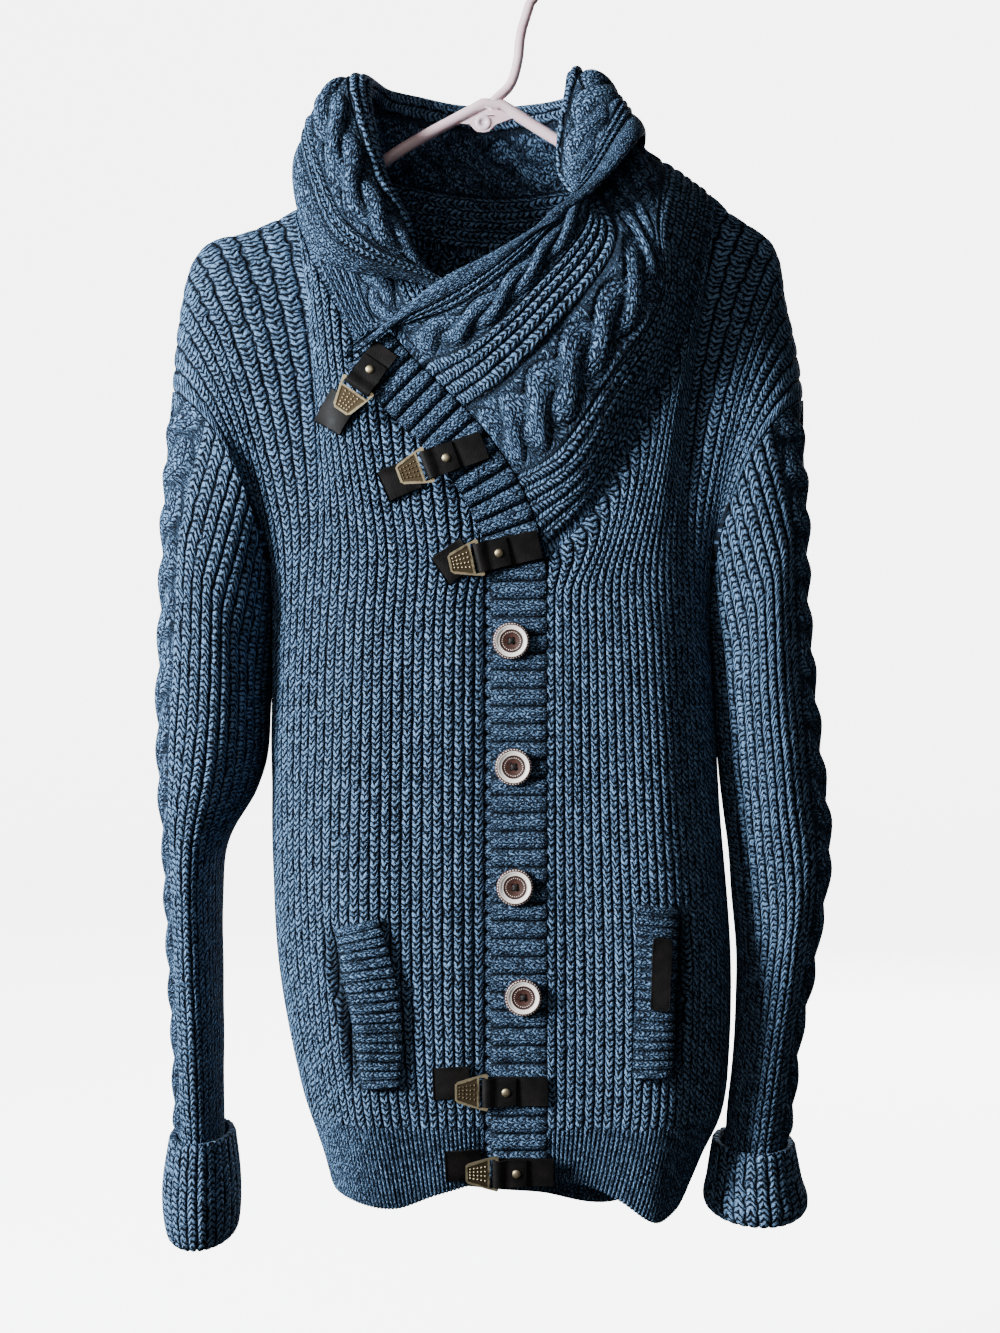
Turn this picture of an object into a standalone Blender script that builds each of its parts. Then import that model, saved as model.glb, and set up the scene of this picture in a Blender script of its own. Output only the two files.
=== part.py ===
"""Shawl collar cardigan in chunky rib knit, hung on a plain plastic hanger.

Run it with blender --background --python part.py, or from the text editor.
Tables are in millimetres and the meshes in metres.  +X is the wearer's left,
+Y the wearer's back and +Z up.  The origin is the point inside the top of the
hook where the hanger bears on its rail.
"""

import math

import bmesh
import bpy
from mathutils import Matrix, Vector

MM = 0.001
NAME = "shawl_collar_cardigan"

# ---- Cloth -----------------------------------------------------------------
WALL = 5.0  # one layer of the rib knit
SEAM_GAP = 0.3  # between pieces that are sewn together
RIB_DEPTH = 1.5  # groove between two rib columns
FRONT_RIBS = 28
BACK_RIBS = 52
SLEEVE_RIBS = 22
CUFF_RIBS = 18
CABLE_PITCH = 34.0  # from one crossing to the next
CABLE_RISE = 3.5
CABLE_STEPS = 4  # points along one crossing

# ---- Front band ------------------------------------------------------------
BAND_X = 9.0
BAND_HALF = 18.5
BAND_RIB_PITCH = 12.0
BAND_RIB_RISE = 1.6
UNDER_BAND_X = 4.7
UNDER_STEP = WALL + 1.4  # the under band lies this far behind the over band
TUCK_REACH = 40.0  # where the under front eases back to its band

# ---- Body: outside of the cloth at each height, from hem to underarm ----------
HEM_EDGE = -872.0
BACK_HEM = ((-121, -866), (-60, -884), (0, -888), (70, -896), (110, -884), (128, -868))
FRONT_HEM = (
    (-121, -866), (-75, -871), (-45, -861), (-10, -853), (50, -854), (76, -865),
    (102, -882), (118, -877), (128, -868),
)  # lower edge: x and height
HEM_SEAM = -814.0
UNDERARM = -458.0
BODY_COLUMNS = ("height", "right_side", "left_side", "front", "back")
BODY = (
    (-872.0, -121.0, 128.0, 68.0, 62.0),
    (-845.0, -127.0, 139.0, 74.0, 68.0),
    (-814.0, -137.0, 152.0, 79.0, 74.0),
    (-782.0, -147.0, 157.5, 82.0, 78.0),
    (-705.0, -160.0, 159.0, 83.0, 80.0),
    (-600.0, -163.5, 151.0, 80.0, 78.0),
    (-458.0, -161.5, 141.5, 77.0, 74.0),
)
BODY_ROUND = 2.7  # exponent of the oval section
PANEL_HEIGHTS = (HEM_SEAM, -705.0, -590.0, UNDERARM)
UPPER_STEPS = 4

# Soft hanging folds: side (-1 front, +1 back), x at the hem, x at the top,
# half width, how far out, and the heights between which it fades out.
FOLD_COLUMNS = ("side", "x_hem", "x_top", "half_width", "out", "low", "high")
FOLDS = (
    (-1, 114.0, 100.0, 56.0, 13.0, -872.0, -280.0),
    (-1, -106.0, -100.0, 52.0, 12.0, -872.0, -280.0),
    (1, -104.0, -84.0, 36.0, 8.0, -872.0, -330.0),
    (1, -36.0, -28.0, 36.0, 8.0, -872.0, -380.0),
    (1, 34.0, 26.0, 36.0, 9.0, -872.0, -350.0),
    (1, 104.0, 82.0, 34.0, 8.0, -872.0, -330.0),
)

# ---- Shoulder ridge: outside of the fold over the hanger, neck to armhole ------
RIDGE_RIGHT = (
    (-145.0, -180.0),
    (-157.0, -187.0),
    (-183.0, -198.0),
    (-208.0, -205.0),
    (-221.0, -221.0),
    (-229.0, -255.0),
    (-233.0, -290.0),
    (-234.0, -311.0),
)
RIDGE_LEFT = (
    (147.0, -172.0),
    (159.0, -184.0),
    (174.0, -194.0),
    (187.0, -204.0),
    (194.0, -219.0),
    (198.0, -246.0),
    (204.0, -272.0),
    (208.0, -295.0),
    (210.0, -317.0),
)

# ---- Sleeves: outside of the cloth, outer and inner line, half depth -----------
SLEEVE_COLUMNS = ("outer_x", "outer_z", "inner_x", "inner_z", "half_depth")
SLEEVE_RIGHT = (
    (-234.0, -311.0, -161.8, -458.0, 58.0),
    (-238.0, -385.0, -165.0, -512.0, 61.0),
    (-240.0, -470.0, -167.0, -560.0, 60.0),
    (-241.0, -550.0, -175.0, -592.0, 57.0),
    (-237.0, -625.0, -197.0, -634.0, 53.0),
    (-234.0, -700.0, -200.0, -700.0, 50.0),
    (-230.0, -765.0, -199.0, -765.0, 46.0),
    (-228.0, -838.0, -198.0, -838.0, 38.0),
)
SLEEVE_LEFT = (
    (210.0, -317.0, 141.8, -458.0, 58.0),
    (212.0, -385.0, 146.0, -512.0, 61.0),
    (213.0, -465.0, 151.0, -580.0, 60.0),
    (220.0, -550.0, 157.5, -645.0, 57.0),
    (227.0, -625.0, 162.5, -700.0, 54.0),
    (218.0, -695.0, 163.0, -735.0, 52.0),
    (205.0, -765.0, 161.0, -785.0, 48.0),
    (196.0, -842.0, 155.0, -842.0, 40.0),
)
CABLE_TURN = 0.09  # the cable lies this share of the way round to the front
CABLE_SHARE = 0.075  # half width of the cable strip, of the way round
ARMHOLE_BOW = 22.0  # the seam bows towards the body at mid depth

# ---- Turned-back cuffs: outer layer's outside ---------------------------------
CUFF_COLUMNS = ("height", "outer_x", "inner_x", "half_depth")
CUFF_RIGHT = (
    (-831.0, -235.0, -191.0, 46.0),
    (-868.0, -240.0, -187.0, 51.0),
    (-898.0, -237.0, -189.0, 49.0),
    (-904.0, -232.0, -195.0, 44.0),
)
CUFF_LEFT = (
    (-837.0, 203.0, 147.0, 49.0),
    (-862.0, 208.0, 143.0, 53.0),
    (-880.0, 212.0, 141.0, 55.0),
    (-887.0, 205.0, 148.0, 50.0),
)

# ---- Collar: sections along the neck seam, from the under end round the back ---
# Each row: seam point, seam's outward direction, then the middle of the cloth
# across the collar at the shares in COLLAR_SHARES: stand, stand, roll, fall, edge.
COLLAR_SHARES = (0.0, 0.18, 0.36, 0.52, 0.76, 1.0)
COLLAR_COLUMNS = ("seam", "outward", "stand_low", "stand_high", "roll", "fall", "edge")
COLLAR = (
    ((-14, -71, -440), (0, -1, 0), (-1, -67, -424), (11, -68, -408),
     (21, -68, -394), (32, -69, -378), (42, -69, -362)),
    ((-21, -68, -388), (0, -1, 0), (-10, -67, -372), (3, -69, -356),
     (15, -70, -342), (27, -71, -328), (38, -72, -314)),
    ((-57, -66, -346), (0, -1, 0.1), (-46, -66, -330), (-34, -69, -312),
     (-22, -70, -298), (-10, -71, -282), (2, -73, -270)),
    ((-101, -60, -286), (-0.2, -1, 0.1), (-90, -63, -274), (-77, -66, -262),
     (-62, -69, -250), (-50, -72, -240), (-58, -79, -248)),
    ((-121, -52, -249), (-0.3, -1, 0.3), (-106, -55, -238), (-86, -58, -222),
     (-66, -64, -206), (-81, -84, -219), (-106, -86, -241)),
    ((-137, -36, -216), (-0.5, -0.8, 0.5), (-120, -40, -202), (-100, -42, -184),
     (-83, -50, -168), (-106, -77, -190), (-129, -79, -226)),
    ((-145, 0, -180), (-0.5, 0, 0.85), (-126, -4, -152), (-108, -4, -122),
     (-98, -4, -94), (-130, -14, -110), (-146, -24, -162)),
    ((-110, 28, -192), (-0.4, 0.75, 0.5), (-98, 30, -160), (-88, 32, -125),
     (-80, 34, -93), (-104, 52, -106), (-122, 62, -150)),
    ((0, 48, -206), (0, 1, 0.3), (-2, 46, -172), (-4, 48, -135),
     (-5, 56, -99), (-5, 77, -112), (-5, 88, -160)),
    ((112, 28, -190), (0.4, 0.75, 0.5), (92, 32, -160), (70, 34, -125),
     (50, 38, -94), (70, 60, -112), (86, 72, -150)),
    ((147, 0, -172), (0.76, 0, 0.65), (118, -14, -158), (76, -4, -128),
     (46, 0, -93), (75, -18, -104), (96, -38, -138)),
    ((133, -42, -246), (0.5, -0.8, 0.3), (108, -70, -214), (82, -56, -186),
     (43, -46, -168), (52, -66, -170), (62, -84, -184)),
    ((119, -55, -289), (0.3, -1, 0.2), (106, -78, -264), (86, -88, -238),
     (62, -86, -214), (44, -86, -201), (28, -93, -208)),
    ((91, -66, -345), (0.15, -1, 0.05), (72, -84, -320), (48, -94, -292),
     (24, -98, -266), (6, -97, -246), (-10, -95, -231)),
    ((64, -72, -392), (0, -1, 0), (42, -86, -366), (14, -92, -330),
     (-12, -95, -300), (-32, -95, -274), (-49, -93, -252)),
)
LEFT_V = (28.3, -76.5, -433.0)  # foot of the left front's neckline
NECK_RIGHT_ROW = 6  # the rows that lie on the shoulder ridges
NECK_LEFT_ROW = 10
FRONT_NECK_COLUMNS = 34  # columns that end at the collar
BACK_NECK_COLUMNS = 64

# Slant of the over band along the collar's end: middle of the band, outside.
SLANT = (
    (8.0, -77.5, -436.0),
    (1.5, -80.0, -410.0),
    (-14.0, -82.5, -379.0),
    (-35.0, -82.5, -351.0),
    (-57.0, -81.0, -329.0),
    (-77.0, -79.0, -309.0),
    (-92.0, -77.5, -291.0),
)

# ---- Colours (linear), roughness, metallic ----------------------------------
NAVY_KNIT = ((0.030, 0.045, 0.062, 1.0), 0.95, 0.0)
DARK_LEATHER = ((0.018, 0.014, 0.013, 1.0), 0.45, 0.0)
AGED_BRASS = ((0.24, 0.17, 0.09, 1.0), 0.38, 1.0)
HORN_BROWN = ((0.16, 0.085, 0.055, 1.0), 0.4, 0.0)
PALE_PINK = ((0.80, 0.58, 0.58, 1.0), 0.35, 0.0)


# =============================================================================
# Small geometry helpers
# =============================================================================
def through(knots, values, x):
    """Value at x on a smooth curve through the values at rising knots."""
    last = len(knots) - 1
    x = min(max(x, knots[0]), knots[last])
    i = 0
    while i < last - 1 and x > knots[i + 1]:
        i += 1

    def slope(k):
        a, b = max(k - 1, 0), min(k + 1, last)
        return (values[b] - values[a]) / (knots[b] - knots[a])

    h = knots[i + 1] - knots[i]
    t = (x - knots[i]) / h
    m0, m1 = slope(i) * h, slope(i + 1) * h
    return (
        values[i] * (2 * t**3 - 3 * t**2 + 1)
        + m0 * (t**3 - 2 * t**2 + t)
        + values[i + 1] * (3 * t**2 - 2 * t**3)
        + m1 * (t**3 - t**2)
    )


def rounded(knots, points, x):
    """Point at x on a curve that turns round its points at an even pace."""
    last = len(knots) - 1
    x = min(max(x, knots[0]), knots[last])
    i = 0
    while i < last - 1 and x > knots[i + 1]:
        i += 1

    def slope(k):
        if k in (0, last):
            a, b = (0, 1) if k == 0 else (last - 1, last)
            return (points[b] - points[a]) / (knots[b] - knots[a])
        before = (points[k] - points[k - 1]).length / (knots[k] - knots[k - 1])
        after = (points[k + 1] - points[k]).length / (knots[k + 1] - knots[k])
        way = (points[k + 1] - points[k - 1]).normalized()
        return way * (before + after) / 2

    h = knots[i + 1] - knots[i]
    t = (x - knots[i]) / h
    return (
        points[i] * (2 * t**3 - 3 * t**2 + 1)
        + slope(i) * h * (t**3 - 2 * t**2 + t)
        + points[i + 1] * (3 * t**2 - 2 * t**3)
        + slope(i + 1) * h * (t**3 - t**2)
    )


def chord_knots(points):
    """Distance from the first point to each point, along the chords."""
    knots = [0.0]
    for a, b in zip(points, points[1:]):
        knots.append(knots[-1] + (b - a).length)
    return knots


def smooth_path(points, step=4.0):
    """Dense smooth path through a few points."""
    knots = chord_knots(points)
    count = max(8, round(knots[-1] / step))
    return [through(knots, points, knots[-1] * k / count) for k in range(count + 1)]


def at_share(path, share):
    """Point at a share of a polyline's length."""
    knots = chord_knots(path)
    target = min(max(share, 0.0), 1.0) * knots[-1]
    for k in range(1, len(path)):
        if knots[k] >= target:
            span = knots[k] - knots[k - 1]
            t = (target - knots[k - 1]) / span if span else 0.0
            return path[k - 1].lerp(path[k], t)
    return path[-1].copy()


def evenly(path, count):
    """count + 1 points evenly along a polyline."""
    knots = chord_knots(path)
    found, k = [], 1
    for i in range(count + 1):
        target = knots[-1] * i / count
        while k < len(path) - 1 and knots[k] < target:
            k += 1
        span = knots[k] - knots[k - 1]
        t = (target - knots[k - 1]) / span if span else 0.0
        found.append(path[k - 1].lerp(path[k], min(max(t, 0.0), 1.0)))
    return found


def smoothstep(t):
    t = min(max(t, 0.0), 1.0)
    return t * t * (3 - 2 * t)


def mix(a, b, t):
    return a * (1 - t) + b * t


# =============================================================================
# Objects and materials
# =============================================================================
def start_scene():
    for thing in list(bpy.data.objects):
        bpy.data.objects.remove(thing, do_unlink=True)
    parts = bpy.data.collections.new(NAME)
    cutters = bpy.data.collections.new("cutters")
    bpy.context.scene.collection.children.link(parts)
    bpy.context.scene.collection.children.link(cutters)
    return parts, cutters


PARTS, CUTTERS = start_scene()


def finish(name, look):
    """Principled material with one look's colour, roughness and metallic value."""
    colour, roughness, metallic = look
    material = bpy.data.materials.new(name)
    material.use_nodes = True
    shader = material.node_tree.nodes["Principled BSDF"]
    shader.inputs["Base Color"].default_value = colour
    shader.inputs["Roughness"].default_value = roughness
    shader.inputs["Metallic"].default_value = metallic
    material.diffuse_color = colour
    return material


def add_mesh(name, bm, look, smooth=True):
    """Put a closed bmesh in the scene as one named sub-part."""
    bmesh.ops.recalc_face_normals(bm, faces=bm.faces)
    if bm.calc_volume(signed=True) < 0:
        bmesh.ops.reverse_faces(bm, faces=bm.faces)
    mesh = bpy.data.meshes.new(name)
    bm.to_mesh(mesh)
    bm.free()
    if smooth:
        mesh.shade_smooth()
        mesh.set_sharp_from_angle(angle=math.radians(50))
    part = bpy.data.objects.new(name, mesh)
    mesh.materials.append(finish(name, look))
    PARTS.objects.link(part)
    return part


def zip_strip(bm, first, second, stops_a=None, stops_b=None):
    """Join two lines of vertices with faces, also where their counts differ."""
    n, m = len(first) - 1, len(second) - 1
    if n == m and stops_a == stops_b:
        for k in range(n):
            bm.faces.new((first[k], second[k], second[k + 1], first[k + 1]))
        return
    stops_a = stops_a or [k / n for k in range(n + 1)]
    stops_b = stops_b or [k / m for k in range(m + 1)]
    i = j = 0
    while i < n or j < m:
        if j == m or (i < n and stops_a[i + 1] <= stops_b[j + 1]):
            bm.faces.new((first[i], second[j], first[i + 1]))
            i += 1
        else:
            bm.faces.new((first[i], second[j], second[j + 1]))
            j += 1


def zip_relief(bm, first, second, heights_a, heights_b):
    """Join two equal lines with triangles whose diagonals follow the raised form."""
    for k in range(len(first) - 1):
        rising = heights_a[k] + heights_b[k + 1]
        falling = heights_a[k + 1] + heights_b[k]
        if rising >= falling:
            bm.faces.new((first[k], second[k], second[k + 1]))
            bm.faces.new((first[k], second[k + 1], first[k + 1]))
        else:
            bm.faces.new((first[k], second[k], first[k + 1]))
            bm.faces.new((second[k], second[k + 1], first[k + 1]))


class Line:
    """One line of a wall's surface: where it lies across the wall, the stops of its
    points along it and the height of its relief."""

    def __init__(self, points, stops=None, heights=None, across=None):
        self.points = points
        self.stops = stops
        self.heights = heights
        self.across = across


def skin(bm, lines, around):
    """Surface over a row of lines; around closes it into a tube."""
    rows = [[bm.verts.new(p * MM) for p in line.points] for line in lines]
    pairs = list(zip(range(len(rows) - 1), range(1, len(rows))))
    if around:
        pairs.append((len(rows) - 1, 0))
    for a, b in pairs:
        relief = lines[a].heights and lines[b].heights
        if relief and len(rows[a]) == len(rows[b]):
            zip_relief(bm, rows[a], rows[b], lines[a].heights, lines[b].heights)
        else:
            zip_strip(bm, rows[a], rows[b], lines[a].stops, lines[b].stops)
    return rows


def places_across(lines, around):
    """Where a wall's lines lie across it, with the first again a turn later."""
    places = [line.across for line in lines]
    if None in places:
        return None
    return places + [places[0] + around] if around else places


def wall(name, outer, inner, look, around=0):
    """Closed wall of cloth between an outer and an inner set of lines.

    around is the length of one turn where the lines close into a tube.
    """
    bm = bmesh.new()
    out_rows = skin(bm, outer, around)
    in_rows = skin(bm, inner, around)
    for end in (0, -1):
        rim_a = [row[end] for row in out_rows]
        rim_b = [row[end] for row in in_rows]
        if around:
            rim_a.append(rim_a[0])
            rim_b.append(rim_b[0])
        places = (places_across(outer, around), places_across(inner, around))
        zip_strip(bm, rim_a, rim_b, *places)
    if not around:
        zip_strip(bm, out_rows[0], in_rows[0])
        zip_strip(bm, out_rows[-1], in_rows[-1])
    return add_mesh(name, bm, look)


def rib_groove(k):
    """Depth at point k of a rib: even points are crests, odd ones grooves."""
    return RIB_DEPTH if k % 2 else 0.0


def cable_height(line, step):
    """Height of a twisted cable at one of its inner lines and steps along."""
    phase = 2 * math.pi * (step - line) / CABLE_STEPS
    return CABLE_RISE * (0.55 + 0.45 * math.cos(phase))


# =============================================================================
# Body
# =============================================================================
def body_at(height):
    """Right and left side, front and back of the body at a height."""
    heights = [row[0] for row in BODY]
    return [
        through(heights, [row[k] for row in BODY], height)
        for k in range(1, len(BODY_COLUMNS))
    ]


def fold_out(side, x, height):
    total = 0.0
    for fold_side, x_hem, x_top, half_width, out, low, high in FOLDS:
        if fold_side != side:
            continue
        rise = (height - low) / (high - low)
        away = (x - mix(x_hem, x_top, min(max(rise, 0), 1))) / half_width
        if abs(away) < 1:
            total += out * math.cos(away * math.pi / 2) ** 2 * (1 - smoothstep(rise))
    return total


def half_section(height, side, steps=120):
    """Outside of the front (-1) or back (+1) from the right side to the left."""
    right, left, front, back = body_at(height)
    depth = front if side < 0 else back
    middle, half = (right + left) / 2, (left - right) / 2
    path = []
    for k in range(steps + 1):
        angle = math.pi * (1 - k / steps)
        c, s = math.cos(angle), math.sin(angle)
        across = math.copysign(abs(c) ** (2 / BODY_ROUND), c)
        x = middle + half * across
        y = depth * abs(s) ** (2 / BODY_ROUND)
        y += fold_out(side, x, height) * (1 - across**4)
        path.append(Vector((x, side * y, height)))
    return path


def cut_from(path, x):
    """The part of a rightward path that lies beyond x, starting exactly at x."""
    for k in range(1, len(path)):
        if path[k].x > x:
            t = (x - path[k - 1].x) / (path[k].x - path[k - 1].x)
            return [path[k - 1].lerp(path[k], t)] + path[k:]
    return path


def cut_until(path, x):
    """The part of a rightward path up to x, turned to start at x."""
    kept = [p for p in path if p.x < x]
    after = path[len(kept)]
    t = (x - kept[-1].x) / (after.x - kept[-1].x)
    kept.append(kept[-1].lerp(after, t))
    kept.reverse()
    return kept


def front_depth(x, height):
    """Outside y of the front at x, on the middle part of the body."""
    return cut_from(half_section(height, -1), x)[0].y


def left_front_row(height):
    return cut_from(half_section(height, -1), BAND_X + BAND_HALF + SEAM_GAP)


def right_front_row(height):
    edge = UNDER_BAND_X - BAND_HALF - SEAM_GAP
    path = cut_until(half_section(height, -1), edge)
    for p in path:
        near = 1 - min((edge - p.x) / TUCK_REACH, 1.0)
        p.y += UNDER_STEP * near**2
    return path


def back_row(height):
    return half_section(height, 1)


# =============================================================================
# Neck seam, ridges and armholes: the lines that pieces share
# =============================================================================
SEAM_POINTS = [Vector(row[0]) for row in COLLAR] + [Vector(LEFT_V)]
SEAM_OUT = [Vector(row[1]).normalized() for row in COLLAR] + [Vector((0, -1, 0))]


def seam_stretch(first, last, columns):
    """Points and directions along the seam, closest where it runs across the ribs."""
    stops, points, outward = COLLAR_FORM.seam()
    low, high = sorted((COLLAR_FORM.knots[first], COLLAR_FORM.knots[last]))
    chosen = [k for k, stop in enumerate(stops) if low <= stop <= high]
    if first > last:
        chosen.reverse()
    found, directions, fixed = [points[chosen[0]]], [outward[chosen[0]]], [0]
    widths = [
        abs(points[b].x - points[a].x) + 0.1 * (points[b] - points[a]).length
        for a, b in zip(chosen, chosen[1:])
    ]
    passed = 0.0
    for a, b, width in zip(chosen, chosen[1:], widths):
        passed += width
        parts = max(1, round(columns * passed / sum(widths)) - fixed[-1])
        for k in range(1, parts + 1):
            found.append(points[a].lerp(points[b], k / parts))
            directions.append(outward[a].lerp(outward[b], k / parts).normalized())
        fixed.append(fixed[-1] + parts)
    return found, directions, fixed


def ridge(table):
    """Shoulder ridge from neck to armhole, with outward directions."""
    points = smooth_path([Vector((x, 0, z)) for x, z in table])
    outward = []
    for k in range(len(points)):
        a, b = points[max(k - 1, 0)], points[min(k + 1, len(points) - 1)]
        run = (b - a).normalized()
        side = math.copysign(1, table[0][0])
        outward.append(Vector((-run.z * side, 0, run.x * side)))
    return points, outward


def ring_point(row, angle, bow=0.0):
    """Point of a sleeve section; angle 0 is the outer line, 90 degrees the front."""
    outer_x, outer_z, inner_x, inner_z, half_depth = row
    middle = Vector(((outer_x + inner_x) / 2, 0, (outer_z + inner_z) / 2))
    reach = Vector(((outer_x - inner_x) / 2, 0, (outer_z - inner_z) / 2))
    c, s = math.cos(angle), math.sin(angle)
    point = middle + reach * c + Vector((0, -half_depth * s, 0))
    towards_body = Vector((-math.copysign(1, outer_x), 0, 1.2)).normalized()
    return point + towards_body * bow * s * s


def armhole_outward(angle, side, lean):
    """Outward direction at the armhole; lean is 1 for the body, -1 for the sleeve."""
    c, s = math.cos(angle), math.sin(angle)
    across = side * (c if c > 0 else -c * lean)
    return Vector((across, -s, 0.3 * min(c, 0))).normalized()


def armhole_angles():
    """Angles round the armhole, from underarm to ridge, at the panels' rows."""
    return [math.pi * (1 - k / UPPER_STEPS) for k in range(UPPER_STEPS + 1)]


def armhole(table, front):
    """Half of an armhole from the underarm to the ridge, with directions."""
    side = math.copysign(1, table[0][0])
    points, outward = [], []
    for angle in armhole_angles():
        facing = angle if front else -angle
        point = ring_point(table[0], facing, ARMHOLE_BOW)
        point.y += -SEAM_GAP / 2 if front else SEAM_GAP / 2
        points.append(point)
        outward.append(armhole_outward(facing, side, 1))
    return points, outward


def armhole_ring(table):
    """Whole armhole on the panels' own corners, outer line first, front next."""
    side = math.copysign(1, table[0][0])
    corners = armhole_angles()[::-1] + [2 * math.pi - a for a in armhole_angles()[1:]]
    points = [ring_point(table[0], a, ARMHOLE_BOW) for a in corners]
    outward = [armhole_outward(a, side, -1) for a in corners]
    return points, outward


# =============================================================================
# Panels
# =============================================================================
class Panel:
    """Rows of evenly spaced outside points and directions, hem seam first."""

    def __init__(self, rows, outward):
        self.rows = rows
        self.outward = outward
        self.count = len(rows[0]) - 1

    def at(self, share, level):
        """Outside point at a share across and a level counted in rows."""
        i = min(int(level), len(self.rows) - 2)
        j = min(int(share * self.count), self.count - 1)
        t, u = level - i, share * self.count - j
        low = self.rows[i][j].lerp(self.rows[i][j + 1], u)
        high = self.rows[i + 1][j].lerp(self.rows[i + 1][j + 1], u)
        return low.lerp(high, t)

    def find(self, x, z):
        """Outside point of the panel's flat face nearest to x and z."""
        best, place = None, None
        share_low, share_high, level_low, level_high = 0.0, 1.0, 0.0, len(self.rows) - 1
        for _ in range(7):
            for a in range(13):
                share = mix(share_low, share_high, a / 12)
                for b in range(13):
                    level = mix(level_low, level_high, b / 12)
                    p = self.at(share, level)
                    off = (p.x - x) ** 2 + (p.z - z) ** 2
                    if best is None or off < best:
                        best, place = off, (share, level)
            share_span = (share_high - share_low) / 8
            level_span = (level_high - level_low) / 8
            share_low = max(place[0] - share_span, 0)
            share_high = min(place[0] + share_span, 1)
            level_low = max(place[1] - level_span, 0)
            level_high = min(place[1] + level_span, len(self.rows) - 1)
        return self.at(*place)


def trimmed(path, at_start, at_end):
    """A path shortened a little at its ends, to leave the seams open."""
    total = chord_knots(path)[-1]
    fine = evenly(path, 400)
    start, end = round(400 * at_start / total), round(400 * at_end / total)
    kept = fine[start : 401 - end]
    kept[0] = at_share(path, at_start / total)
    kept[-1] = at_share(path, 1 - at_end / total)
    return kept


def respaced(row, evenness):
    """The same line with its points moved towards even spacing."""
    knots = chord_knots(row)
    count = len(row) - 1
    spots = [mix(knots[j], knots[-1] * j / count, evenness) for j in range(count + 1)]
    return [linear(knots, row, spot) for spot in spots]


def bezier(p0, p1, p2, p3, t):
    s = 1 - t
    return p0 * s**3 + p1 * (3 * s * s * t) + p2 * (3 * s * t * t) + p3 * t**3


def make_panel(row_at, top, top_out, top_in, edges, seam_sides):
    """Panel from level sections below the underarm and smooth columns above it.

    top, top_out and top_in give each column's end point, its outward direction and
    the way the cloth arrives there.  edges holds an armhole half for the first and
    the last column, or None where the edge is free of the armhole.
    """
    count = len(top) - 1
    first, last = edges
    trim = (SEAM_GAP / 2 if seam_sides[0] else 0, SEAM_GAP / 2 if seam_sides[1] else 0)
    rows = [evenly(trimmed(row_at(h), *trim), count) for h in PANEL_HEIGHTS]
    underarm = rows[-1]
    for step in range(1, UPPER_STEPS + 1):
        t = step / UPPER_STEPS
        row = []
        ends = {}
        for j in (0, count, *range(1, count)):
            span = (top[j] - underarm[j]).length
            low = underarm[j] + Vector((0, 0, 0.35 * span))
            high = top[j] - top_in[j] * min(0.35 * span, 26.0)
            ends[j] = bezier(underarm[j], low, high, top[j], t)
        for j in range(count + 1):
            share = j / count
            point = ends[j].copy()
            if last:
                point += (last[0][step] - ends[count]) * share**4
            if first:
                point += (first[0][step] - ends[0]) * (1 - share) ** 4
            row.append(point)
        if t < 1:
            row = respaced(row, 1 - t * t)
        rows.append(row)
    outward = panel_outward(rows)
    outward[-1] = [v.copy() for v in top_out]
    for edge, j, side in ((first, 0, -1), (last, count, 1)):
        side = side if first else math.copysign(1, rows[0][-1].x)
        for k in range(len(rows) - 1):
            step = k - len(PANEL_HEIGHTS) + 1
            if not edge:
                outward[k][j] = Vector((0, -1, 0))
            elif step < 0:
                outward[k][j] = Vector((side, 0, 0))
            else:
                outward[k][j] = edge[1][step]
    return Panel(rows, outward)


def panel_outward(rows):
    """Outward directions from the neighbours of each point."""
    found = []
    for k, row in enumerate(rows):
        below, above = rows[max(k - 1, 0)], rows[min(k + 1, len(rows) - 1)]
        line = []
        for j in range(len(row)):
            a, b = row[max(j - 3, 0)], row[min(j + 3, len(row) - 1)]
            direction = (b - a).cross(above[j] - below[j])
            if k < len(PANEL_HEIGHTS):
                direction = (b - a).cross(Vector((0, 0, 1)))
            away = Vector((row[j].x * 0.3, row[j].y, 0))
            if direction.dot(away) < 0:
                direction = -direction
            line.append(direction.normalized())
        found.append(line)
    return found


def rib_room(row, j):
    """Share of the full groove depth that fits where columns run close together."""
    a, b = row[max(j - 1, 0)], row[min(j + 1, len(row) - 1)]
    return smoothstep(((b - a).length / 2 - 0.6) / 2.0)


def panel_wall(name, panel, inside):
    """Wall of a panel: ribs outside, plain inside at the columns listed."""
    outer, inner = [], []
    for j in range(panel.count + 1):
        points = [
            row[j] - out[j] * rib_groove(j) * rib_room(row, j)
            for row, out in zip(panel.rows, panel.outward)
        ]
        outer.append(Line(points, across=j))
    for j in inside:
        points = [row[j] - out[j] * WALL for row, out in zip(panel.rows, panel.outward)]
        inner.append(Line(points, across=j))
    return wall(name, outer, inner, NAVY_KNIT)


def inside_columns(count, fixed, pitch=6):
    """Columns of the plain inside: the fixed ones and others between them."""
    places = set()
    for a, b in zip(fixed, fixed[1:]):
        parts = max(1, math.ceil((b - a) / pitch))
        places.update(round(mix(a, b, k / parts)) for k in range(parts + 1))
    return sorted(places | {0, count})


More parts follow.
